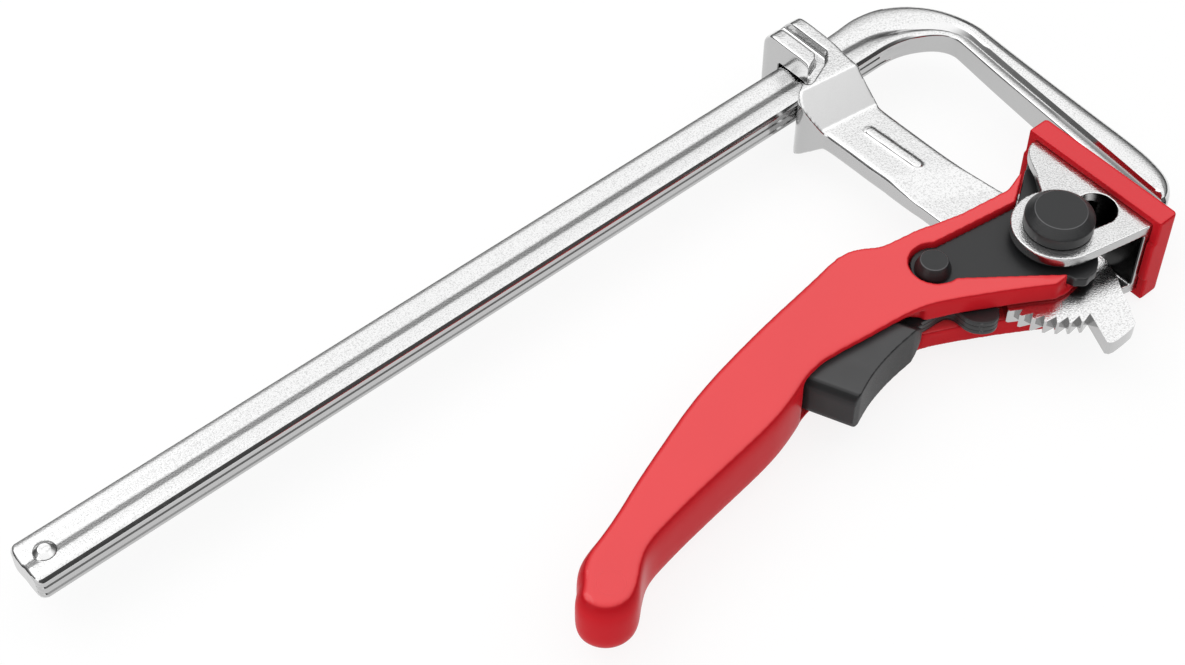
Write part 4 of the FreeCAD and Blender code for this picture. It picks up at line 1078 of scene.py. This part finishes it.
along = [vert.co.x / MM for vert in lever.data.vertices]
normals = [vert.normal.copy() for vert in lever.data.vertices]
handle_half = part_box("handle")[1].z
places = []
for vert, x, normal in zip(lever.data.vertices, along, normals):
    swell = GRIP_OUT * fade(x, GRIP_FROM, GRIP_FULL) + KNOB_OUT * fade(x, KNOB_FROM, KNOB_FULL)
    swell *= 1 - (vert.co.z / handle_half) ** 4
    places.extend(vert.co + Vector((normal.x, normal.y, 0)) * swell * MM)
lever.data.vertices.foreach_set("co", places)
lever.data.update()
grip = lever.vertex_groups.new(name="grip")
tenths = [round(10 * fade(x, GRIP_FROM, GRIP_FULL)) for x in along]
for tenth in range(1, 11):
    grip.add([index for index, level in enumerate(tenths) if level == tenth], tenth / 10, "REPLACE")
melt(lever, GRIP_TURNS, "grip")
lever.vertex_groups.clear()
finish_piece(lever, "lever", red_coat, "handle")

# %% [markdown]
# Trigger. It is moulded round the pawl's tail, with two pins through both. Its finger face is
# hollowed along a smooth curve, and its side is rounded toward the open end. No hole shows on its
# flat faces, so the ends of the pins' holes are plugged.

# %% Trigger and its pins
FINGER_HOLLOW = [(-67.0, -2.9), (-64.2, -1.7), (-61.2, -0.6), (-57.5, 0.3), (-53.7, 0.9),
                 (-49.1, 1.3), (-45.5, 1.4)]
HOLLOW_OUTSIDE = [(-40, 1.4), (-40, -9), (-67.0, -9)]
TRIGGER_REAR = [(-67.3, -2.3), (-67.3, 2.3)]
TRIGGER_SIDE = [(-67.0, 3.2), (-66.4, 3.9), (-65.6, 4.25), (-65.0, 4.31), (-47.3, 4.31),
                (-45.9, 3.3), (-44.6, 2.2), (-43.9, 1.2)]
TRIGGER_FROM, TRIGGER_TO, TRIGGER_LEAN = -2.9, 9.0, -0.441
CROSS_PIN_RADIUS = 0.8
PLUG_RADIUS, PLUG_RUN, PLUG_GAP = 0.95, 0.01, 0.02
trigger = copy_of("finger_trigger", "trigger")
hollow = prism("finger_hollow", curve(FINGER_HOLLOW) + HOLLOW_OUTSIDE, -CLEAR_THROUGH, CLEAR_THROUGH)
boolean(trigger, hollow, "DIFFERENCE")

pins_low, pins_high = (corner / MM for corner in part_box("trigger_pins"))
trigger_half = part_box("trigger")[1].z / MM
first_pin = (pins_low.x + CROSS_PIN_RADIUS, pins_low.y + CROSS_PIN_RADIUS)
last_pin = (pins_high.x - CROSS_PIN_RADIUS, pins_high.y - CROSS_PIN_RADIUS)
for x, y in (first_pin, last_pin):
    for low, high in ((pins_high.z + PLUG_GAP, trigger_half), (-trigger_half, pins_low.z - PLUG_GAP)):
        plug = stadium("plug", (x, y), (x - PLUG_RUN, y), PLUG_RADIUS, low, high)
        boolean(trigger, plug, "UNION")

around = TRIGGER_REAR + TRIGGER_SIDE + [(x, -z) for x, z in reversed(TRIGGER_SIDE)]
form = prism_along_y("trigger_side", around, TRIGGER_FROM, TRIGGER_TO, TRIGGER_LEAN)
boolean(trigger, form, "INTERSECT")
finish_piece(skin_over(trigger, voxel=0.2, turns=8), "pawl", trigger_dark, "trigger")
cross_pins = soften(copy_of("cross_pins", "trigger_pins"), width=0.1, segments=2)
finish_piece(smooth_faces(cross_pins), "pawl", washer_black, "trigger_pins")

# %% [markdown]
# Trigger spring. A coil is a rule, not a shape: a path that climbs as it turns, with a wire's
# round section on it. Geometry Nodes makes both. The real coil shortens when the trigger is
# pressed; this one is wound once, at the length the frame gives it.

# %% Geometry Nodes: wind the spring
spring_low, spring_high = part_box("trigger_spring")
SPRING_RADIUS = 1.4 * MM
SPRING_WIRE = 0.5 * MM
SPRING_PITCH = 1.45 * MM
TURN_STEPS, WIRE_STEPS = 24, 10
coil_tree, given, out = geometry_tree("wind_coil", [
    ("Radius", "NodeSocketFloat", 0.001), ("Wire", "NodeSocketFloat", 0.0005),
    ("Height", "NodeSocketFloat", 0.01), ("Turns", "NodeSocketFloat", 7.0),
    ("Foot", "NodeSocketVector", None), ("Finish", "NodeSocketMaterial", None)])
path = geo(coil_tree, "GeometryNodeCurveSpiral", {
    "Resolution": TURN_STEPS, "Rotations": given["Turns"], "Start Radius": given["Radius"],
    "End Radius": given["Radius"], "Height": given["Height"]})["Curve"]
round_wire = geo(coil_tree, "GeometryNodeCurvePrimitiveCircle", {
    "Resolution": WIRE_STEPS, "Radius": calc(coil_tree, "DIVIDE", given["Wire"], 2.0)})["Curve"]
wound = geo(coil_tree, "GeometryNodeCurveToMesh", {
    "Curve": path, "Profile Curve": round_wire, "Fill Caps": True})["Mesh"]
stood = geo(coil_tree, "GeometryNodeTransform", {
    "Geometry": wound, "Translation": given["Foot"], "Rotation": (-math.pi / 2, 0, 0)})["Geometry"]
end_tree(coil_tree, out, stood, given["Finish"])
spring = piece_from("trigger_coil", [(0, 0, 0)], [])
middle = (spring_low + spring_high) / 2
length = spring_high.y - spring_low.y - SPRING_WIRE
run_tree(spring, coil_tree, {"Radius": SPRING_RADIUS, "Wire": SPRING_WIRE, "Height": length,
                             "Turns": length / SPRING_PITCH, "Finish": wire_bright,
                             "Foot": (middle.x, spring_low.y + SPRING_WIRE / 2, middle.z)})
finish_piece(shade_smooth(spring), "lever", wire_bright, "trigger_spring")
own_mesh(spring)
